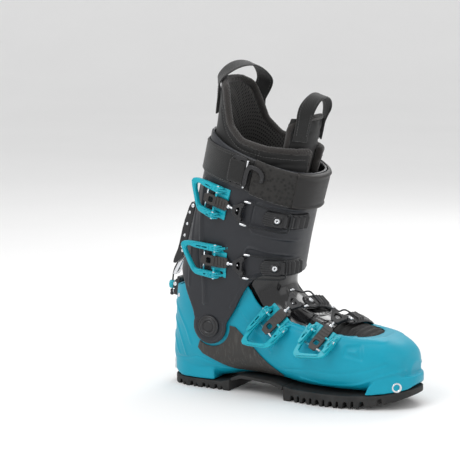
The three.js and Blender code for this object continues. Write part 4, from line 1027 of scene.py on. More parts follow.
line_inside(liner, -2)
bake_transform(liner)

# %% [markdown]
# The liner's foot is a soft shoe inside the shell. Only a glimpse of it can be seen down the leg, but it
# is what the footbed lies in.

# %% The liner's foot, the board and the footbed
LINER_IN = TONGUE_IN + TONGUE_SHEET + 1.5
LINER_FOAM = 5.5
shoe = carve(foot_form("liner_shoe", LINER_IN, 110, 120), foot_form("t", LINER_IN + LINER_FOAM, 100, 110))
SHOE_EDGE = [(HEEL_MM - 5, 27), (TOE_MM, 27), (TOE_MM, 100), (150, 104), (100, 92), (50, 71), (14, 66), (-12, 72), (HEEL_MM - 5, 78)]
carve(shoe, slab("t", SHOE_EDGE, rounding=1), operation="INTERSECT")
even_out(shoe, 2.0, 4)
finished(shoe, liner_cloth, "root", stands_for=["liner_foot"])


def eased_copy(node, voxel, easing=2):
    """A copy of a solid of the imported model, with rounded edges and even faces."""
    low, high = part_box(node)
    copy = bpy.data.objects.new(node + "_fine", frame["nodes"][node].data.copy())
    scene.collection.objects.link(copy)
    return even_out(copy, voxel, easing)


finished(eased_copy("footbed", 1.6, 3), footbed_felt, "root", stands_for=["footbed"])
finished(eased_copy("boot_board", 2.4, 2), soft_rubber, "root", stands_for=["boot_board"])

# %% [markdown]
# Piping, webbing, wire and thread are all a small section carried along a line. One sweep makes them: at
# each point it sets the section square to the line, with one of its axes held near a given direction so
# that flat webbing doesn't twist.

# %% Sweeps
def oval(wide, thick, corners=24, squareness=2.0):
    angles = np.linspace(0, 2 * math.pi, corners, endpoint=False)
    power = 2 / squareness
    wave = lambda f: np.sign(f(angles)) * np.abs(f(angles)) ** power
    return np.column_stack([wave(np.cos) * wide / 2, wave(np.sin) * thick / 2]) * MM


def sweep_along(name, path, section, across, sizes=None):
    """Carries a section along a path in metres. across is the direction of the section's width."""
    path = np.array(path, float)
    tangent = np.gradient(path, axis=0)
    tangent /= np.maximum(np.linalg.norm(tangent, axis=1), 1e-12)[:, None]
    across = np.broadcast_to(np.array(across, float), path.shape).copy()
    across -= tangent * (across * tangent).sum(1)[:, None]
    across /= np.maximum(np.linalg.norm(across, axis=1), 1e-12)[:, None]
    over = np.cross(tangent, across)
    sizes = np.ones(len(path)) if sizes is None else np.array(sizes)
    grid = path[:, None] + sizes[:, None, None] * (section[None, :, :1] * across[:, None] + section[None, :, 1:] * over[:, None])
    return form(name, grid)


def edge_line(skin, angles, top, lift):
    """Where a skin meets a top edge, given as (forward, height) pairs."""
    forwards, heights = zip(*top)
    line = []
    for angle in angles:
        column = int(angle) % 360
        gap = skin.height[:, column] - np.interp(skin.forward[:, column], forwards, heights)
        row = int(np.argmax(gap > 0)) or 199
        line.append(skin.at(angle, skin.height[row, column], lift))
    line = np.array(line)
    for _ in range(3):
        line[1:-1] = (line[:-2] + 2 * line[1:-1] + line[2:]) / 4
    return line


# %% [markdown]
# The collar of the liner is finished with a thick roll of knitted cloth. It runs over the spoiler behind,
# down both sides, level to the front, and turns down into the slit. A row of stitches holds it.

# %% The collar roll
roll_angles = list(np.arange(194, 360, 2)) + list(np.arange(0, 168, 2))
collar = edge_line(liner_skin, roll_angles, LINER_TOP, -SHAFT_FOAM / 2)
slit_down = lambda angle: [np.array(liner_skin.at(angle, up, -SHAFT_FOAM / 2)) for up in (212, 206, 200, 192)]
collar = np.vstack([slit_down(193)[::-1], collar, slit_down(167)])
collar = smooth_through(collar, 260)
roll = sweep_along("collar_roll", collar, oval(8.4, 8.4), LEG_UP)
roll_places, roll_out = places(roll), outward(roll)
ripple = 0.25 * np.sin(np.arctan2(roll_places[:, 1], roll_places[:, 0] - 0.05) * 150)
put(roll, roll_places + roll_out * ripple[:, None] * MM)
finished(roll, knit_piping, "cuff")


def stitches(name, line, body, pitch=3.2, length=2.1, thick=0.55):
    """A row of short threads along a line, joined in one piece."""
    line = np.array(line)
    walked = np.concatenate([[0], np.cumsum(np.linalg.norm(np.diff(line, axis=0), axis=1))])
    vertices, faces = [], []
    for start in np.arange(0, walked[-1] - length * MM, pitch * MM):
        ends = [[np.interp(s, walked, line[:, axis]) for axis in range(3)] for s in (start, start + length * MM)]
        a, b = map(Vector, ends)
        along = (b - a).normalized()
        side = along.orthogonal().normalized() * thick * MM / 2
        over = along.cross(side)
        base = len(vertices)
        for share, size in ((0, 0.35), (0.25, 1), (0.75, 1), (1, 0.35)):
            vertices += [a.lerp(b, share) + d * size for d in (side, over, -side, -over)]
        for ring in range(3):
            k = base + 4 * ring
            faces += [(k + i, k + (i + 1) % 4, k + 4 + (i + 1) % 4, k + 4 + i) for i in range(4)]
        faces += [(base + 3, base + 2, base + 1, base), (base + 12, base + 13, base + 14, base + 15)]
    return finished(mesh_object(name, vertices, faces), thread, body)


seat_line = edge_line(liner_skin, roll_angles[4:-4], [(f, h - 7.5) for f, h in LINER_TOP], 0.5)
stitches("collar_stitches", seat_line, "cuff")
for index, side in enumerate((-1, 1)):
    for seam in ((3, 1.4), (11, -1.4)):
        line = [liner_skin.at(liner_skin.angle(seam[0], up, side), up, 0.35) for up in range(206, 213)]
        stitches(f"side_stitches_{index}_{seam[0]}", smooth_through(line, 20), "cuff", 2.6, 1.7, 0.45)
print("the collar roll is", round(sum(np.linalg.norm(np.diff(collar, axis=0), axis=1)), 3), "m long")

# %% [markdown]
# The liner's tongue is a foam pad that stands up behind the slit. It is made as a slightly thin pad and
# then inflated by cloth simulation, the way a cushion fills its cover, and no point may move further than
# a small cap so that it keeps clear of its neighbours.

# %% The liner's tongue
def filled(piece, voxel, cap, pressure=4.0, frames=20):
    """Swells a thin pad with a cloth simulation, moving no point further than cap millimetres."""
    even_out(piece, voxel, 1)
    start = places(piece)
    cloth = piece.modifiers.new("filling", "CLOTH")
    cloth.settings.use_pressure = True
    cloth.settings.uniform_pressure_force = pressure
    cloth.settings.effector_weights.gravity = 0
    cloth.point_cache.frame_start, cloth.point_cache.frame_end = 1, frames
    for number in range(1, frames + 1):
        scene.frame_set(number)
    seen = piece.evaluated_get(bpy.context.evaluated_depsgraph_get())
    end = np.array([v.co for v in seen.data.vertices])
    piece.modifiers.clear()
    scene.frame_set(1)
    move = end - start
    far = np.maximum(np.linalg.norm(move, axis=1), 1e-12)
    put(piece, start + move * np.minimum(1, cap * MM / far)[:, None])
    rounder = piece.modifiers.new("rounder", "SUBSURF")
    rounder.levels = rounder.render_levels = 1
    return bake_modifiers(piece)


TONGUE_PAD = 6
outer_pad = form("liner_tongue_soft", rings(LINER_STATIONS, 100, 140, SHAFT_FOAM + GAP + 1.2))
liner_tongue = carve(outer_pad, form("t", rings(LINER_STATIONS, 100, 140, SHAFT_FOAM + GAP + TONGUE_PAD - 0.8)))
pad_outline = on_leg((25, 113), (80, 113), (80, 255), (31, 257), (23, 243), (21, 200))
carve(liner_tongue, slab("t", pad_outline, -33, 33, rounding=1), operation="INTERSECT")
filled(liner_tongue, 3.5, 1.3)
for up in (214, 226, 238):
    emboss(liner_tongue, on_leg((24, up), (60, up + 4)), 1.6, -0.7)
finished(liner_tongue, liner_cloth, "cuff", stands_for=["liner_tongue"])
low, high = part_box("liner_tongue")
rim_half = 31.5
rim_skin = Sleeve(LINER_STATIONS, SHAFT_FOAM + GAP + TONGUE_PAD / 2)


def angle_at(skin, y, up):
    """The angle, towards the front, at which the skin is y millimetres from the middle."""
    columns = range(120, 241)
    side = lambda c: np.interp(up, skin.height[:, c], skin.grid[:, c, 1]) / MM
    return min(columns, key=lambda c: abs(side(c) - y))


rim = [rim_skin.at(angle_at(rim_skin, -rim_half, up), up) for up in (196, 208, 220, 232, 242)]
rim += [rim_skin.at(angle_at(rim_skin, y, up), up) for y, up in ((-27, 251), (-14, 256), (0, 257), (14, 256), (27, 251))]
rim += [rim_skin.at(angle_at(rim_skin, rim_half, up), up) for up in (242, 232, 220, 208, 196)]
tongue_roll = sweep_along("tongue_roll", smooth_through(rim, 140), oval(6.6, 6.6), LEG_FORWARD)
finished(tongue_roll, knit_piping, "cuff")
print("the liner's tongue stands", round((high.z - low.z) / MM), "mm tall")

# %% [markdown]
# Two webbing loops pull the boot on: a wide one at the back of the liner and a smaller one on its tongue.
# Each band is sewn flat on the skin at both feet and rises between them in an arch. Webbing bends across
# its face and hardly at all across its width, so the band turns a little as it climbs and never folds.

# %% The pull loops
LOOP_SEAMS = (-0.36, 0.36)


def pull_loop(name, node, skin, feet, low, high, wide, turn, lift, spread):
    """An arch of webbing between two angles of a skin. turn is its width's direction at the top."""
    top = np.array(LEG_FORWARD) * math.cos(turn) + np.array((0, math.sin(turn), 0))
    ends, widths = [], []
    for angle in feet:
        ahead = skin.at(angle + 3, low) - skin.at(angle - 3, low)
        widths.append(ahead * np.sign(ahead @ top) / np.linalg.norm(ahead))
        ends.append([skin.at(angle, up, lift) for up in (low - 18, low - 9, low)])
    path, across = list(ends[0]), [widths[0]] * 3
    for a in np.radians((24, 48, 76, 104, 132, 156)):
        share, rise = (1 - spread * math.cos(a)) / 2, math.sin(a)
        path.append(ends[0][-1] * (1 - share) + ends[1][-1] * share + np.array(LEG_UP) * (high - low) * rise**0.8 * MM)
        across.append(top * rise + widths[0 if a < math.pi / 2 else 1] * (1 - rise))
    path = smooth_through(path + ends[1][::-1], 90)
    across = smooth_through(across + [widths[1]] * 3, 90)
    band = sweep_along(name, path, oval(wide, 1.9, 28, 5), across)
    finished(band, webbing, "cuff", stands_for=[node])
    tangent = np.gradient(path, axis=0)
    out = np.cross(tangent, across)
    out /= np.linalg.norm(out, axis=1)[:, None]
    across = across / np.linalg.norm(across, axis=1)[:, None]
    for edge, label in zip(LOOP_SEAMS, ("back", "front")):
        for face in (-1, 1):
            seam = path + across * wide * edge * MM + out * face * 1.0 * MM
            stitches(f"{name}_stitches_{label}_{'in' if face < 0 else 'out'}", seam[6:-6], "cuff", 3.0, 2.0, 0.5)
    return path


rear_feet = [liner_skin.angle(-67, 250, -1), liner_skin.angle(-50, 250, 1)]
rear_feet[0] -= 360
pull_loop("rear_loop", "rear_pull_loop", liner_skin, rear_feet, 248, 288, 20, math.radians(-25), 1.2, 1.3)
tongue_feet = [angle_at(rim_skin, -23, 246), angle_at(rim_skin, 23, 246)]
pull_loop("tongue_loop", "tongue_pull_loop", rim_skin, tongue_feet, 248, 281, 18, math.radians(-12), 4.6, 1.12)
print("two pull loops")

# %% [markdown]
# The power strap closes the top of the cuff. Woven webbing comes round from behind, and a padded, quilted
# tab and a smooth front band complete the ring. Each is a stretch of the cuff's own skin, lifted off it.

# %% The power strap
STRAP_FALL = 0.1  # it drops towards the front, for each millimetre ahead of the pivot


def fall(skin, angle, up):
    forward = (skin.at(angle, up) - np.array(PIVOT)) @ np.array(LEG_FORWARD) / MM
    return STRAP_FALL * max(forward, 0)


def wrap(name, skin, start, end, low, high, lift, thick, profile, steps=110):
    """A band on a skin from one angle to another. profile gives the thickness share at -1..1 across."""
    shares = np.linspace(-1, 1, 26)
    grid = []
    for angle in np.linspace(start, end, steps):
        ups = low + (high - low) * (shares + 1) / 2 - fall(skin, angle, (low + high) / 2)
        outer = [skin.at(angle, up, lift + thick * profile(s, angle)) for s, up in zip(shares, ups)]
        inner = [skin.at(angle, up, lift) for up in ups[::-1]]
        grid.append(outer + inner)
    return form(name, np.array(grid))


def flat_band(s, angle):
    return 0.3 + 0.7 * (1 - abs(s) ** 10) ** 0.5


def rimmed_band(s, angle):
    rims = 0.22 * math.exp(-(((abs(s) - 0.86) / 0.07) ** 2)) - 0.10 * math.exp(-(((abs(s) - 0.7) / 0.05) ** 2))
    return 0.25 + 0.72 * (1 - abs(s) ** 12) ** 0.5 + rims


def quilted_band(s, angle):
    tufts = 0.10 * math.sin(s * 24) * math.sin(angle * 1.15)
    return 0.25 + 0.70 * (1 - abs(s) ** 6) ** 0.5 + tufts


STRAP_MIDDLE = 184
split_outer = cuff_skin.angle(11, STRAP_MIDDLE, -1)
split_inner = cuff_skin.angle(11, STRAP_MIDDLE, 1)
webbing_band = wrap("strap_webbing", cuff_skin, split_outer, 360 + split_inner, 166, 202, 0.5, 2.2, flat_band, 160)
finished(webbing_band, webbing, "cuff", stands_for=["power_strap_webbing"])
pad_end = cuff_skin.angle(55, STRAP_MIDDLE, -1)
strap_tab = wrap("strap_pad", cuff_skin, pad_end - 6, split_outer - 1, 164, 204, 0.5, 4.3, quilted_band, 90)
finished(strap_tab, strap_neoprene, "cuff", stands_for=["power_strap_pad"])
front_band = wrap("strap_front", cuff_skin, split_inner + 1, pad_end - 1, 163, 205, 0.6, 4.9, rimmed_band, 130)
finished(front_band, strap_skin, "cuff")
for up in (168.5, 199.5):
    stops = np.linspace(split_outer + 6, 354 + split_inner, 150)
    line = [cuff_skin.at(angle, up - fall(cuff_skin, angle, up), 2.75) for angle in stops]
    stitches(f"strap_stitches_{up:.0f}", line, "cuff", 3.4, 2.3, 0.5)
print("the strap is", 36, "mm wide and its front band", 42)

# %% [markdown]
# Buckle parts are cast or punched plates with rounded edges and windows. Blender's flat curves make these
# well: every closed spline inside another becomes a hole, and a curve's bevel rounds all the edges.

# %% Plates and turned parts
def plate(name, outline, low, high, holes=(), bevel=0.5, rounding=2, frame_matrix=None):
    """A plate with rounded edges from outlines in millimetres, between two heights, in its own frame."""
    flat = bpy.data.curves.new(name, "CURVE")
    flat.dimensions, flat.fill_mode = "2D", "BOTH"
    for ring, turns in [(outline, rounding)] + [(hole, 1) for hole in holes]:
        points = np.array(ring, float)
        for _ in range(turns):
            after = np.roll(points, -1, axis=0)
            points = np.stack([0.8 * points + 0.2 * after, 0.2 * points + 0.8 * after], axis=1).reshape(-1, 2)
        line = flat.splines.new("POLY")
        line.points.add(len(points) - 1)
        for spot, (x, y) in zip(line.points, points):
            spot.co = (x * MM, y * MM, 0, 1)
        line.use_cyclic_u = True
    flat.extrude = max((high - low) / 2 - bevel, 0.01) * MM
    flat.bevel_depth, flat.bevel_resolution, flat.offset = bevel * MM, 2, -bevel * MM
    shape = bpy.data.objects.new(name, flat)
    scene.collection.objects.link(shape)
    bpy.context.view_layer.update()
    mesh = bpy.data.meshes.new_from_object(shape.evaluated_get(bpy.context.evaluated_depsgraph_get()))
    bpy.data.objects.remove(shape)
    mesh.transform(Matrix.Translation((0, 0, (low + high) / 2 * MM)))
    made = bpy.data.objects.new(name, mesh)
    scene.collection.objects.link(made)
    if frame_matrix is not None:
        mesh.transform(frame_matrix)
    return made


def lathe(name, profile, frame_matrix, steps=40, waves=None):
    """Turns (radius, height) pairs, in millimetres, about the z axis of a frame."""
    angles = np.linspace(0, 2 * math.pi, steps, endpoint=False)
    grid = []
    for radius, height in profile:
        size = radius * (1 + waves(angles)) if waves and radius else np.full(steps, max(radius, 0.01))
        grid.append(np.column_stack([size * np.cos(angles), size * np.sin(angles), np.full(steps, height)]))
    made = form(name, np.array(grid) * MM)
    made.data.transform(frame_matrix)
    return made


def joined(name, pieces):
    """Joins pieces of one finish into one object."""
    shape = bmesh.new()
    for piece in pieces:
        shape.from_mesh(piece.data)
        bpy.data.objects.remove(piece)
    mesh = bpy.data.meshes.new(name)
    shape.to_mesh(mesh)
    shape.free()
    made = bpy.data.objects.new(name, mesh)
    scene.collection.objects.link(made)
    return made


def box_ring(x0, x1, y0, y1):
    return [(x0, y0), (x1, y0), (x1, y1), (x0, y1)]


def axis_frame(origin, z_axis, x_hint=(0, 0, 1)):
    """A frame at origin whose z axis is given and whose x axis lies near x_hint."""
    z = Vector(z_axis).normalized()
    x = Vector(x_hint)
    x = (x - z * x.dot(z)).normalized()
    return Matrix.Translation(origin) @ Matrix((x, z.cross(x), z)).transposed().to_4x4()


screws = 0


def screw(name, frame_matrix, body, radius=2.6, socket=1.1, height=1.0):
    """A steel screw head with a star socket."""
    global screws
    screws += 1
    profile = [(0, 0), (radius, 0), (radius, height * 0.5), (radius * 0.86, height), (socket * 1.35, height), (socket, height * 0.9), (socket * 0.9, height * 0.2), (0, height * 0.15)]
    head = lathe(name, profile, frame_matrix, 36)
    return finished(head, steel, body)


# %% [markdown]
# Every buckle works in the same way. A lever turns on a pin in its base; a link under the lever pulls a
# threaded rod and a yoke; and a wire bail from the yoke hooks over the teeth of a rack. The joints of the
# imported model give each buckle's frame: x along the pull, y along the lever's pin, z out of the shell.

# %% A buckle's frame
LEVER_PIN_Z = 8
LINK_PIN = (-15, 4.6)
YOKE_FROM, YOKE_EYE = 37, 11.6


def buckle_frame(name):
    pin = Vector(joints[f"{name}_lever_hinge"]["pos_m"])
    across = Vector(joints[f"{name}_lever_hinge"]["axis"]).normalized()
    to_link = Vector(joints[f"{name}_link_hinge"]["pos_m"]) - pin
    to_link = (to_link - across * to_link.dot(across)).normalized()
    reach = math.hypot(LINK_PIN[0], LINK_PIN[1] - LEVER_PIN_Z)
    a, b = LINK_PIN[0] / reach, (LINK_PIN[1] - LEVER_PIN_Z) / reach
    turned_link = across.cross(to_link)
    pull = a * to_link + b * turned_link
    out = b * to_link - a * turned_link
    origin = pin - out * LEVER_PIN_Z * MM
    return Matrix.Translation(origin) @ Matrix((pull, across, out)).transposed().to_4x4()


def link_frame(name, frame_matrix):
    """The link's own frame: its x axis runs from its pin through the bail's eye."""
    eye = frame_matrix.inverted() @ Vector(joints[f"{name}_bail_hinge"]["pos_m"])
    pin = Vector((LINK_PIN[0] * MM, 0, LINK_PIN[1] * MM))
    tilt = -math.atan2(eye.z - pin.z, eye.x - pin.x)
    return frame_matrix @ Matrix.Translation(pin) @ Matrix.Rotation(tilt, 4, "Y")


# %% [markdown]
# The levers are cast frames. Two arms run back from a forked end, and a slanting bar joins them. Each arm
# has a thick root, a stepped spine with a slot milled in it, and a thin tip that a finger can lift.

# %% The levers
ARM_IN, ARM_OUT = 11.8, 18.8
ARM_MIDDLE = (ARM_IN + ARM_OUT) / 2


def lever_pieces(name, frame_matrix, reach, skew, body):
    outline = [
        (5, ARM_OUT), (-reach + 10, ARM_OUT - 1 + skew), (-reach + 2, ARM_OUT - 3 + skew), (-reach, ARM_OUT - 8 + skew),
        (-reach * 0.66, -ARM_OUT + 5), (-reach * 0.5, -ARM_OUT), (5, -ARM_OUT), (5, -ARM_OUT + 2.1), (-5, -ARM_OUT + 2.1),
        (-5, -ARM_IN - 2.1), (5, -ARM_IN - 2.1), (5, -ARM_IN), (-reach * 0.5, -ARM_IN), (-reach * 0.58, -ARM_IN + 1.5),
        (-reach + 6.5, ARM_IN - 3 + skew), (-reach + 10, ARM_IN + 1.5 + skew * 0.6), (5, ARM_IN), (5, ARM_IN + 2.1),
        (-5, ARM_IN + 2.1), (-5, ARM_OUT - 2.1), (5, ARM_OUT - 2.1),
    ]
    body_plate = plate(f"{name}_lever_body", outline, 2.8, 7.4, bevel=0.7, rounding=1, frame_matrix=frame_matrix)
    layers = [body_plate]
    for side, back in ((1, -reach + 15), (-1, -reach * 0.42)):
        arm = lambda x, y: (x, side * (ARM_MIDDLE + y))
        spine = [arm(4.6, -3.3), arm(4.6, -1.5), arm(-3, -1.5), arm(-3, 1.5), arm(4.6, 1.5), arm(4.6, 3.3), arm(-6, 3.3), arm(back + 6, 2.4), arm(back, 1.2), arm(back, -1.4), arm(back + 6, -2.6), arm(-6, -3.3)]
        slot = [arm(-8, -0.8), arm(back + 7, -0.7), arm(back + 7, 0.7), arm(-8, 0.8)]
        layers.append(plate(f"{name}_spine_{side}", spine, 7.2, 10, [slot], 0.5, 1, frame_matrix))
        step = [arm(-7, -2.6), arm(back + 14, -1.9), arm(back + 14, 1.9), arm(-7, 2.6)]
        inner_slot = [arm(-9, -1.0), arm(back + 15, -0.8), arm(back + 15, 0.8), arm(-9, 1.0)]
        layers.append(plate(f"{name}_step_{side}", step, 9.6, 11, [inner_slot], 0.45, 1, frame_matrix))
    lip = [(-reach + 1.6, ARM_OUT - 8 + skew), (-reach * 0.66 + 1.5, -ARM_OUT + 6), (-reach * 0.66 + 4.2, -ARM_OUT + 6.6), (-reach + 4.8, ARM_OUT - 7 + skew)]
    layers.append(plate(f"{name}_lip", lip, 7.2, 8.4, bevel=0.4, rounding=1, frame_matrix=frame_matrix))
    lever = joined(f"{name}_lever_cast", layers)
    finished(lever, lever_blue, body, stands_for=[f"{name}_lever"])
    pins = []
    for y in (-ARM_MIDDLE, ARM_MIDDLE):
        pins.append(lathe("p", [(0, -4.2), (1.5, -4.2), (1.7, -3.8), (1.7, 3.8), (1.5, 4.2), (0, 4.2)], frame_matrix @ axis_frame((0, y * MM, LEVER_PIN_Z * MM), (0, 1, 0)), 20))
    finished(joined(f"{name}_pins", pins), steel, body)
    return lever


# %% [markdown]
# Between the arms lies the link, a block of brown-grey plastic with a steel pin, out of which a threaded
# rod turns to set the buckle's length, and a black yoke with a window that holds the wire.

# %% Links, yokes and bails
def threaded_rod(name, frame_matrix, first, last, radius):
    profile = [(0, first)]
    for k in range(int((last - first) / 0.35)):
        profile.append((radius if k % 2 else radius * 0.84, first + 0.35 * k))
    return lathe(name, profile + [(radius * 0.7, last), (0, last)], frame_matrix, 18)


def link_pieces(name, link_matrix, body):
    block = [(-3.4, -6.2), (27, -6.2), (30, -4.4), (30, 4.4), (27, 6.2), (-3.4, 6.2)]
    window = [(3, -3.2), (9, -3.2), (9, 3.2), (3, 3.2)]
    layers = [plate(f"{name}_block", block, -1.5, 1.6, [window], 0.5, 1, link_matrix)]
    for x in (12, 16, 20, 24):
        layers.append(plate(f"{name}_rib_{x}", box_ring(x, x + 1.8, -5, 5), 1.4, 2.3, bevel=0.3, rounding=1, frame_matrix=link_matrix))
    finished(joined(f"{name}_link_block", layers), link_brown, body, stands_for=[f"{name}_link"])
    along = link_matrix @ axis_frame((0, 0, 0), (1, 0, 0))
    rod = threaded_rod("r", along, 29, 43.5, 1.5)
    collar_nut = lathe("n", [(0, 29.6), (2.6, 29.6), (2.8, 30), (2.8, 32), (2.6, 32.4), (0, 32.4)], along, 6)
    trunnion = lathe("t", [(0, -14.8), (1.2, -14.8), (1.2, 14.8), (0, 14.8)], link_matrix @ axis_frame((0, 0, 0), (0, 1, 0)), 16)
    finished(joined(f"{name}_rod", [rod, collar_nut, trunnion]), steel, body)
    yoke_matrix = link_matrix @ Matrix.Translation((YOKE_FROM * MM, 0, 0))
    outline = [(0, -4.6), (4, -6.6), (10.5, -10.6), (14, -10.6), (14, -6.2), (12, -5), (12, 5), (14, 6.2), (14, 10.6), (10.5, 10.6), (4, 6.6), (0, 4.6)]
    opening = [(5, -3.4), (9.6, -5), (9.6, 5), (5, 3.4)]
    frame_plate = plate(f"{name}_yoke_plate", outline, -2.6, 2.6, [opening], 0.6, 1, yoke_matrix)
    cheeks = [plate(f"{name}_cheek", [(9, s * 7), (14, s * 7), (14, s * 10.6), (9, s * 10.6)], -3.0, 3.0, bevel=0.5, rounding=1, frame_matrix=yoke_matrix) for s in (-1, 1)]
    finished(joined(f"{name}_yoke_cast", [frame_plate, *cheeks]), part_black, body, stands_for=[f"{name}_yoke"])


# %% [markdown]
# The wire and the rack lie along the shell, so they are laid out on a belt: a line walked over the skin
# in the buckle's own plane, which gives a place for any distance along, across and out.

# %% The belt
from mathutils.bvhtree import BVHTree


class Belt:
    """A line walked over a skin from a buckle's frame, in millimetres along, across and out."""

    def __init__(self, tree, frame_matrix, length, step=1.0):
        rotation = frame_matrix.to_3x3()
        self.across = rotation @ Vector((0, 1, 0))
        along, out = rotation @ Vector((1, 0, 0)), rotation @ Vector((0, 0, 1))
        here = frame_matrix.translation.copy()
        self.step, self.line = step, [(here.copy(), out.copy())]
        for _ in range(int(length / step)):
            ahead = here + along * step * MM
            hit, *_ = tree.ray_cast(ahead + out * 12 * MM, -out)
            after = hit or ahead
            along = (2 * along + (after - here).normalized()).normalized()
            out = along.cross(self.across).normalized()
            here = after
            self.line.append((here.copy(), out.copy()))

    def at(self, along, across=0.0, out=0.0):
        spot = min(max(along / self.step, 0), len(self.line) - 1.001)
        k, share = int(spot), spot % 1
        (a, n), (b, m) = self.line[k], self.line[k + 1]
        normal = n.lerp(m, share).normalized()
        return a.lerp(b, share) + self.across * across * MM + normal * out * MM

    def frame(self, along, across=0.0, out=0.0):
        """A frame on the belt: x along it, y across it, z out."""
        here = self.at(along, across, out)
        x = (self.at(along + 2, across) - self.at(along - 2, across)).normalized()
        y = self.across
        return Matrix.Translation(here) @ Matrix((x, y, x.cross(y))).transposed().to_4x4()


def skin_tree(grid):
    vertices = [Vector(v) for v in grid.reshape(-1, 3)]
    rows, columns, _ = grid.shape
    faces = [
        (r * columns + c, r * columns + (c + 1) % columns, (r + 1) * columns + (c + 1) % columns, (r + 1) * columns + c)
        for r in range(rows - 1)
        for c in range(columns)
    ]
    return BVHTree.FromPolygons(vertices, faces)


skins = {"cuff": skin_tree(rings(CUFF_STATIONS, 160, 180)), "root": skin_tree(rings(FOOT_STATIONS, 200, 180))}


def relief(name, belt, first, last, half, height, pitch=0.5):
    """A plate on a belt whose width and height vary along it: half(u) and height(u, v)."""
    alongs = np.arange(first, last + pitch / 2, pitch)
    grid = []
    for u in alongs:
        width = half(u)
        shares = np.linspace(-1, 1, 33)
        upper = [belt.at(u, s * width, height(u, s * width) * (0.45 + 0.55 * (1 - abs(s) ** 8) ** 0.5)) for s in shares]
        lower = [belt.at(u, s * width, 0.1) for s in shares[::-1]]
        grid.append([list(p) for p in upper + lower])
    return form(name, np.array(grid))


# %% [markdown]
# A rack is a small black moulding with a rounded foot, held by one screw in a round boss, and a run of
# hooked teeth that the wire drops behind. Raised ribs flank the boss.

# %% Racks and wires
RACK_HALF, BAIL_HALF = 9.3, 9.9
RACK_FOOT = {"cuff": 10, "root": 3}  # how far the base plate reaches behind the boss's end


def rack_pieces(name, belt, first, last, teeth, end, body):
    boss = first + 5.2
    pitch = (last - first - 11) / teeth
    start, nose = first - RACK_FOOT[body], 6.5
    stop = last + 4 if end <= last + 4 else end
    rounded = stop < end + 5

    def half(u):
        lead = math.sqrt(max(0.03, 1 - max(0, (start + nose - u) / nose) ** 2))
        tail = math.sqrt(max(0.03, 1 - max(0, (u - stop + 5) / 5.2) ** 2)) if rounded else 1
        return RACK_HALF * lead * tail

    def height(u, v):
        away = math.hypot(u - boss, v)
        tall = 2.5 + 1.4 / (1 + math.exp((away - 4.6) * 5))
        tall += 0.6 * math.exp(-(((abs(v) - RACK_HALF + 1.8) / 0.7) ** 2))
        if u < boss - 5:
            tall += 0.5 * math.cos(v * 2.4)
        t = (u - first - 11) / pitch
        if 0 <= t < teeth:
            hook = min((t % 1) / 0.5, 1) if t % 1 < 0.68 else 0
            tall += (3.9 * hook - 0.7) / (1 + math.exp((abs(v) - RACK_HALF + 2.2) * 4))
        if u > last + 2:
            tall = 2.6 - 0.4 * math.cos(u / 5 * math.pi) * (abs(v) < 5)
        return tall

    rack = relief(f"{name}_rack_moulding", belt, start, stop, half, height)
    finished(rack, part_black, body, stands_for=[f"{name}_rack"])
    screw(f"{name}_rack_screw", belt.frame(boss, 0, 3.6), body, 3.1, 1.2, 1.2)
    return rack


def bail_pieces(name, belt, frame_matrix, hook, body):
    """A bent wire from the yoke's eye over the rack, with a steel sleeve on each leg."""
    eye = frame_matrix.inverted() @ Vector(joints[f"{name}_bail_hinge"]["pos_m"]) / MM
    half = BAIL_HALF
    local = lambda x, y, z: frame_matrix @ Vector((x * MM, y * MM, z * MM))
    middle = lambda v: belt.at((hook + 36) / 2, v, 5.4)
    route = [
        local(eye.x, 6.5, eye.z), local(eye.x, 9.5, eye.z), local(eye.x, 12.2, eye.z), local(eye.x + 2.6, 13.2, eye.z),
        middle(half + 2.2), belt.at(hook - 2, half + 1.2, 6.8), belt.at(hook, half - 0.6, 7.4), belt.at(hook + 0.3, half - 3, 7.6),
        belt.at(hook + 0.3, -half + 3, 7.6), belt.at(hook, -half + 0.6, 7.4), belt.at(hook - 2, -half - 1.2, 6.8),
        middle(-half - 2.2), local(eye.x + 2.6, -13.2, eye.z), local(eye.x, -12.2, eye.z), local(eye.x, -9.5, eye.z),
        local(eye.x, -6.5, eye.z),
    ]
    line = smooth_through([list(p) for p in route], 150)
    wire = sweep_along(f"{name}_wire", line, oval(1.9, 1.9, 12), frame_matrix.to_3x3() @ Vector((0, 0, 1)))
    finished(wire, dark_wire, body, stands_for=[f"{name}_bail"])
    sleeves = []
    for first, last in ((26, 34), (116, 124)):
        stretch = line[first:last]
        out = frame_matrix.to_3x3() @ Vector((0, 0, 1))
        sleeves.append(sweep_along("s", stretch, oval(2.8, 2.8, 14), out, [0.7] + [1] * (len(stretch) - 2) + [0.7]))
    finished(joined(f"{name}_sleeves", sleeves), steel, body)


BUCKLES = {
    "cuff_upper": ("cuff", 40, 0, 66, 112, 5, 84, 112),
    "cuff_lower": ("cuff", 46, 1, 62, 106, 5, 78, 106),
    "instep": ("root", 46, -3, 44, 78, 4, 54, 118),
    "toe": ("root", 36, -2, 42, 70, 3, 51, 112),
}
for name, (skin, reach, skew, first, last, teeth, hook, end) in BUCKLES.items():
    place = buckle_frame(name)
    belt = Belt(skins[skin], place, end + 16)
    lever_pieces(name, place, reach, skew, f"{name}_lever")
    link_pieces(name, link_frame(name, place), f"{name}_link")
    rack_pieces(name, belt, first, last, teeth, end, skin)
    bail_pieces(name, belt, place, hook, f"{name}_bail")
    finished(eased_copy(f"{name}_base", 0.5, 2), lever_blue, skin, stands_for=[f"{name}_base"])
    print(name, "buckle: lever", reach, "mm long, rack from", first, "to", last, "mm along the belt")

# %% [markdown]
# The strap's hook buckle and its anchor are moulded plates that follow the cuff. A plate cut from a thin
# second skin of the cuff has exactly that curve, so it is made as one skin less another, trimmed to its
# outline, and then eased.

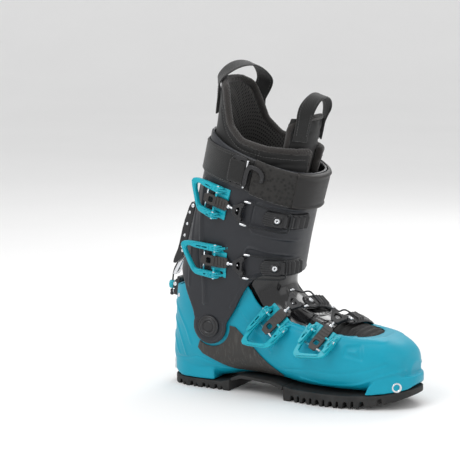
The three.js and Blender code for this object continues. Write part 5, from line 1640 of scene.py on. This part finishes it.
# %% The strap's buckle and anchor
def skin_plate(name, trim, lift, thick, voxel=0.5):
    """A plate lifted off the cuff, trimmed by another solid."""
    outer = form(name, rings(CUFF_STATIONS, 150, 220, -(lift + thick)))
    carve(outer, form("t", rings(CUFF_STATIONS, 140, 220, -lift)))
    carve(outer, trim, operation="INTERSECT")
    return outer if voxel is None else even_out(outer, voxel, 3)


def side_trim(outline, low=-90, high=0, rounding=1):
    return slab("t", on_leg(*outline), low, high, rounding)


hook_frame = skin_plate("strap_buckle", side_trim([(-17, 166), (9, 166), (9, 202), (-17, 202)]), 3.0, 2.8, None)
for f0, f1 in ((-13.4, -8.4), (-4.4, 3.4)):
    carve(hook_frame, side_trim([(f0, 170), (f1, 170), (f1, 198), (f0, 198)], -95, 5))
even_out(hook_frame, 0.5, 3)
finished(hook_frame, part_black, "power_strap_buckle", stands_for=["power_strap_buckle"])
HOOK = [
    (4.5, 170), (4.5, 191), (9, 197), (22, 196), (28, 190), (28, 180), (24, 180), (24, 187), (20, 191.5),
    (12, 192.5), (9.5, 189), (9.5, 170),
]
hook = skin_plate("strap_hook", side_trim(HOOK), 5.4, 2.6)
finished(hook, part_black, "power_strap_buckle")
strap_pin_foot = cuff_skin.at(cuff_skin.angle(6, 168, -1), 168, 5.2)
strap_pin_top = cuff_skin.at(cuff_skin.angle(6, 200, -1), 200, 5.2)
pin_line = smooth_through([strap_pin_foot, (np.array(strap_pin_foot) + strap_pin_top) / 2, strap_pin_top], 24)
strap_pin = sweep_along("strap_pin", pin_line, oval(2.6, 2.6, 16), LEG_FORWARD)
finished(strap_pin, steel, "power_strap_buckle")
first, last = (cuff_skin.angle(f, STRAP_MIDDLE, -1) for f in (-15, 3))
fold = wrap("strap_fold", cuff_skin, min(first, last), max(first, last), 170.5, 197.5, 2.9, 4.2, flat_band, 24)
finished(fold, webbing, "cuff")


def back_prism(outline, first, last):
    """A prism along the leg's forward direction from (y, height) pairs."""
    spot = lambda f, y, h: np.array(PIVOT) + (np.array(LEG_FORWARD) * f + np.array(LEG_UP) * h + (0, y, 0)) * MM
    return form("t", np.array([[spot(f, y, h) for y, h in outline] for f in (first, last)]))


anchor_outline = [(17 + 13 * math.cos(math.radians(a)), 184 + 13 * math.sin(math.radians(a))) for a in range(0, 360, 60)]
anchor = skin_plate("strap_anchor", back_prism(anchor_outline, -100, -40), 3.0, 2.2, None)
carve(anchor, back_prism([(24, 180), (27, 180), (27, 188), (24, 188)], -110, -30))
even_out(anchor, 0.5, 3)
finished(anchor, part_black, "cuff", stands_for=["power_strap_anchor"])


def back_seat(y, up, lift, skin=cuff_skin):
    """A frame on the back of a leg form: x across, y up, z out."""
    columns = [c % 360 for c in range(-80, 81)]
    angle = min(columns, key=lambda c: abs(np.interp(up, skin.height[:, c], skin.grid[:, c, 1]) / MM - y))
    here = Vector(skin.at(angle, up, lift))
    out = (here - Vector(skin.at(angle, up, lift - 1))).normalized()
    return axis_frame(here, out, LEG_UP)


screw("anchor_screw", back_seat(17, 184, 4.6), "cuff", 4.2, 1.6, 1.4)
print("the strap's buckle and anchor")

# %% [markdown]
# The ski/walk lever stands on the back of the cuff. Its two rails hang from a pin in the cuff's housing,
# carry a steel lock bar between them, and in ski mode the bar's foot drops on the pin of a catch on the
# shell's heel. All of it is drawn in the leg's own frame, forward against up, and given its width across.

# %% The ski and walk mechanism
LEG_FRAME = Matrix.Translation(PIVOT) @ Matrix((LEG_FORWARD, LEG_UP, Vector((0, -1, 0)))).transposed().to_4x4()
LEVER_TOP, BAR_PIN, CATCH_PIN = (-72.5, 115), (-72.8, 60), (-73.4, 18.3)


def leg_plate(name, outline, low, high, holes=(), bevel=0.6, rounding=1):
    return plate(name, outline, low, high, holes, bevel, rounding, LEG_FRAME)


def round_hole(f, h, radius):
    return [(f + radius * math.cos(a), h + radius * math.sin(a)) for a in np.linspace(0, 2 * math.pi, 20, endpoint=False)]


def cross_pin(name, spot, radius, half, body, stands_for=()):
    profile = [(0, -half - 0.6), (radius * 1.1, -half - 0.5), (radius * 1.35, -half), (radius * 1.35, 0.8 - half), (radius, 0.9 - half)]
    profile += [(r, -h) for r, h in profile[::-1]]
    at = LEG_FRAME @ Matrix.Translation((spot[0] * MM, spot[1] * MM, 0))
    return finished(lathe(name, profile, at, 28), steel, body, stands_for=stands_for)


RAIL = [
    (-71.5, 119), (-77, 118), (-80, 90), (-79.5, 62), (-82, 48), (-82, 42), (-78.6, 42), (-72, 52), (-70, 68),
    (-70, 115),
]
RAIL_IN, RAIL_OUT = 6.6, 11.6
rails = [leg_plate("r", RAIL, low, low + RAIL_OUT - RAIL_IN, [round_hole(*LEVER_TOP, 1.3)]) for low in (RAIL_IN, -RAIL_OUT)]
for h in (96, 82, 68):
    rails.append(leg_plate("r", box_ring(-78, -73.2, h, h + 4), -8, 8))
rails.append(leg_plate("r", box_ring(-82, -78.9, 42.5, 47.5), 1 - RAIL_OUT, RAIL_OUT - 1))
finished(joined("mode_rails", rails), part_black, "mode_lever", stands_for=["mode_lever"])
rivets = []
rail_back = {106: -78.3, 92: -79.8, 78: -79.9, 64: -79.6}
for side in (-1, 1):
    for h, back in rail_back.items():
        at = axis_frame(LEG_FRAME @ Vector((-75 * MM, h * MM, side * (RAIL_OUT - 0.2) * MM)), (0, -side, 0))
        rivets.append(lathe("r", [(0, -0.6), (1.9, -0.6), (1.8, 0.3), (1.2, 0.75), (0, 0.9)], at, 20))
        rear = axis_frame(LEG_FRAME @ Vector(((back + 0.3) * MM, (h + 3) * MM, side * 9.1 * MM)), -LEG_FORWARD, LEG_UP)
        rivets.append(lathe("r", [(0, -0.8), (1.8, -0.8), (1.6, 0.5), (1.0, 0.8), (0, 0.9)], rear, 20))
finished(joined("mode_rivets", rivets), steel, "mode_lever")
cross_pin("mode_top_pin", LEVER_TOP, 1.8, 12.4, "cuff", ["mode_lever_pin"])
cross_pin("mode_bar_pin", BAR_PIN, 1.5, 12.2, "mode_lever")
BAR = [(-75, 64), (-71, 64), (-70.5, 56), (-77.8, 27), (-81.6, 27), (-75.6, 50)]
bar_parts = [leg_plate("b", BAR, -5.6, 5.6, [round_hole(*BAR_PIN, 1.0)], 0.5)]
bar_parts += [leg_plate("b", [(f - 0.7, h) for f, h in BAR[3:]] + [(-74.5, 50)], s * 4.4 - 0.7, s * 4.4 + 0.7, (), 0.3) for s in (-1, 1)]
finished(joined("lock_bar", bar_parts), steel, "mode_lock_bar", stands_for=["mode_lock_bar"])
cross_pin("catch_pin", CATCH_PIN, 1.9, 10.6, "root", ["mode_catch_pin"])
finished(eased_copy("mode_catch", 0.5, 2), part_black, "root", stands_for=["mode_catch"])
finished(eased_copy("mode_housing", 0.5, 3), part_black, "cuff", stands_for=["mode_housing"])
screw("housing_screw", back_seat(0, 129, 3.4), "cuff", 2.8, 1.1, 1.2)
for side in (-1, 1):
    screw(f"catch_screw_{'outer' if side < 0 else 'inner'}", axis_frame(LEG_FRAME @ Vector((-73.4 * MM, 9.5 * MM, side * 8.6 * MM)), -LEG_FORWARD, LEG_UP), "root", 2.0, 0.9, 0.9)
print("the lever's rails hang", round(LEVER_TOP[1] - 42), "mm down from their pin")

# %% [markdown]
# The cord is finished here: a fine braid, a turned bead that slides on it, and a crimped sleeve at its
# end. The bead has two grooves for grip.

# %% The cord's bead and sleeve
def along_cord(first, last):
    a, b = (Vector(cord_route[k]) * MM for k in (first, last))
    return a, b, (b - a).normalized()


above, below, down = along_cord(12, 13)
bead_profile = [(1.25, -4.4), (2.9, -4.4), (3.5, -3.6), (3.9, -2.3), (3.6, -2.0), (4.1, -1.5), (4.3, 0), (4.1, 1.5), (3.6, 2.0), (3.9, 2.3), (3.5, 3.6), (2.9, 4.4), (1.25, 4.4)]
bead = lathe("cord_bead", bead_profile + [bead_profile[0]], axis_frame((above + below) / 2, down), 40)
finished(bead, lever_blue, "mode_lever", stands_for=["mode_cord_bead"])
last_but_one, tip, down = along_cord(15, 16)
tag_profile = [(0, 3.6), (1.2, 3.5), (1.7, 3.0), (1.8, 0.6), (1.45, 0.2), (1.45, -0.4), (1.8, -0.8), (1.75, -2.6), (1.3, -3.2), (0, -3.3)]
tag = lathe("cord_tag", tag_profile, axis_frame(tip, down) @ Matrix.Diagonal((1.25, 0.75, 1, 1)), 32)
finished(tag, part_black, "mode_lever")
finished(pull_cord, webbing, "mode_lever", stands_for=["mode_cord"])
[c * MM for c in cord_route[0]]

# %% [markdown]
# The cuff turns on a large bolt at each ankle. Its head is a moulded cap with stepped rings and a hexagon
# socket. The steel fittings for the binding are turned cups in the toe and a plate at the heel.

# %% Pivots and binding fittings
CAP_FACE = ANKLE_HALF + 5.4 + GAP
TOE_CUPS = {"lateral": Vector((248, -28.4, 25.5)) * MM, "medial": Vector((248, 32.6, 25.5)) * MM}
SOCKET_HEX = [(3.3 * math.cos(a), 3.3 * math.sin(a)) for a in np.linspace(0, 2 * math.pi, 6, endpoint=False)]
for side, label in ((-1, "lateral"), (1, "medial")):
    seat = axis_frame((PIVOT.x, 0, PIVOT.z), (0, side, 0))
    rings_of_cap = [
        (0, CAP_FACE - 9), (6.9, CAP_FACE - 9), (6.9, CAP_FACE), (12.3, CAP_FACE), (12.5, CAP_FACE + 0.4), (12.5, CAP_FACE + 1.4),
        (11.6, CAP_FACE + 2.3), (10.9, CAP_FACE + 2.4), (10.5, CAP_FACE + 2.0), (9.9, CAP_FACE + 2.1), (9.5, CAP_FACE + 2.9),
        (8.9, CAP_FACE + 3.2), (7.4, CAP_FACE + 3.1), (6.9, CAP_FACE + 2.2), (6.2, CAP_FACE + 2.0), (5.7, CAP_FACE + 2.9),
        (5.1, CAP_FACE + 3.2), (4.2, CAP_FACE + 3.2), (0, CAP_FACE + 3.2),
    ]
    cap = lathe(f"pivot_cap_{label}", rings_of_cap, seat, 72)
    carve(cap, plate("t", SOCKET_HEX, CAP_FACE + 0.4, CAP_FACE + 5, bevel=0.05, rounding=0, frame_matrix=seat))
    finished(cap, part_black, "root", stands_for=[f"pivot_{label}"])
    nut = lathe(f"pivot_core_{label}", [(0, 0), (3.0, 0), (2.8, 0.5), (0, 0.6)], seat @ Matrix.Translation((0, 0, (CAP_FACE + 0.35) * MM)), 24)
    finished(nut, steel, "root")
    cup_seat = axis_frame(TOE_CUPS[label], (0.54, 0.84 * side, 0))
    cup = [
        (0, -6.4), (5.6, -6.4), (5.6, -0.1), (5.3, 0.3), (4.4, 0.4), (3.7, 0), (2.2, -2.4), (1.5, -4.2), (0, -4.6),
    ]
    finished(lathe(f"toe_cup_{label}", cup, cup_seat, 48), steel, "root", stands_for=[f"toe_insert_{label}"])

low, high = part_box("heel_fitting")
heel_seat = Matrix.Translation((high.x - 2.6 * MM, 0, 0)) @ Matrix(((0, -1, 0), (0, 0, 1), (-1, 0, 0))).transposed().to_4x4()
heel_outline = [(-13.5, 12), (13.5, 12), (13.5, 25), (9, 31.5), (-9, 31.5), (-13.5, 25)]
heel_slots = [[(s * 8 + x, 21 + y) for x, y in ((-2.3, -3), (2.3, -3), (2.3, 2), (0, 3.4), (-2.3, 2))] for s in (-1, 1)]
heel_plates = [plate("h", heel_outline, -2.4, 0.2, heel_slots, 0.5, 1, heel_seat)]
heel_plates.append(plate("h", [(-3.4, 12.6), (3.4, 12.6), (3.4, 19), (10, 28), (8.4, 30.6), (-8.4, 30.6), (-10, 28), (-3.4, 19)], 0, 0.9, (), 0.4, 1, heel_seat))
finished(joined("heel_plate", heel_plates), steel, "root", stands_for=["heel_fitting"])
screw("heel_screw", axis_frame((low.x + 1.0 * MM, 0, 26 * MM), (-1, 0, 0)), "root", 3.4, 1.5, 1.0)
print("pivots, toe cups and a heel plate")

# %% [markdown]
# Steel rivets and small dark plugs hold the shell's layers; only the rivets are made here. Each is set on the skin by
# casting a line at it from outside, so it sits square to the surface.

# %% Rivets in the shells
def on_skin(tree, origin, direction, lift=0.0):
    hit, normal, *_ = tree.ray_cast(Vector(origin) * MM, Vector(direction))
    out = normal if normal.dot(Vector(direction)) < 0 else -normal
    return axis_frame(hit + out * lift * MM, out)


def rivet(at, radius=2.4):
    return lathe("r", [(0, -1.2), (radius, -1.2), (radius, 0.3), (radius * 0.8, 0.75), (radius * 0.45, 0.95), (radius * 0.4, 0.6), (0, 0.55)], at, 28)


shell_rivets = []
for x, z in ((-25, 104), (-29.5, 18.5)):
    for side in (-1, 1):
        shell_rivets.append(rivet(on_skin(skins["root"], (x, side * 90, z), (0, -side, 0))))
finished(joined("shell_rivets", shell_rivets), steel, "root")
print(screws, "screws and", len(shell_rivets), "rivets")

# %% [markdown]
# The boot stands on a plain pale floor that curves up into a pale wall, like a studio sweep. One large
# soft light hangs over the front left, a smaller one fills from the right, and a strip behind draws the
# bright edges along the shells. The world is a soft white, so the shadows stay light.

# %% Stage and light
floor_line = [(-6, 0), (3.2, 0), (4.1, 0.25), (4.6, 0.9), (4.8, 2.2), (4.8, 6)]
floor_line = smooth_through(floor_line, 40)
floor_line[:, 1] = np.maximum(floor_line[:, 1], 0)
sweep_rows = np.array([[(y, x, z) for y in (-8, 8)] for x, z in floor_line], float)
sweep = mesh_object(
    "studio_sweep",
    sweep_rows.reshape(-1, 3),
    [(2 * r, 2 * r + 1, 2 * r + 3, 2 * r + 2) for r in range(len(floor_line) - 1)],
)
face_out(sweep)
floor_turn = Matrix.Rotation(AZIMUTH, 4, "Z")
sweep.data.transform(floor_turn)
paper = Finish("studio_paper", roughness=0.9, specular_ior_level=0.1)
paper.feed(base_color=paper.mix(paper.noise(3), grey(0.86), grey(0.90)))
sweep.data.materials.append(paper.material)
sweep.data.polygons.foreach_set("use_smooth", [True] * len(sweep.data.polygons))

world = bpy.data.worlds.new("studio")
world.use_nodes = True
world.node_tree.nodes["Background"].inputs["Color"].default_value = (1, 1, 1, 1)
world.node_tree.nodes["Background"].inputs["Strength"].default_value = 0.8
scene.world = world


def soft_light(name, size, power, right, up, back):
    """A square area light placed as seen from the camera, and turned to the boot's middle."""
    light = bpy.data.lights.new(name, "AREA")
    light.shape, light.size, light.energy = "SQUARE", size, power
    lamp = bpy.data.objects.new(name, light)
    centre = Vector((0.08, 0, 0.17))
    place = centre + right * CAMERA_RIGHT + up * Vector((0, 0, 1)) + back * CAMERA_BACK
    lamp.matrix_world = Matrix.Translation(place) @ (place - centre).to_track_quat("Z", "Y").to_matrix().to_4x4()
    scene.collection.objects.link(lamp)
    return lamp


soft_light("key", 0.9, 10, -0.9, 1.1, 0.9)
soft_light("fill", 1.2, 3, 1.3, 0.5, 0.8)
soft_light("rim", 0.7, 5, 0.5, 1.0, -1.0)
soft_light("top", 0.8, 5, 0.0, 1.5, 0.1)
scene.view_settings.view_transform = "Standard"
print("a sweep, a white world and four soft lights")

# %% [markdown]
# The last cell only imports json.

# %% The last cell
import json
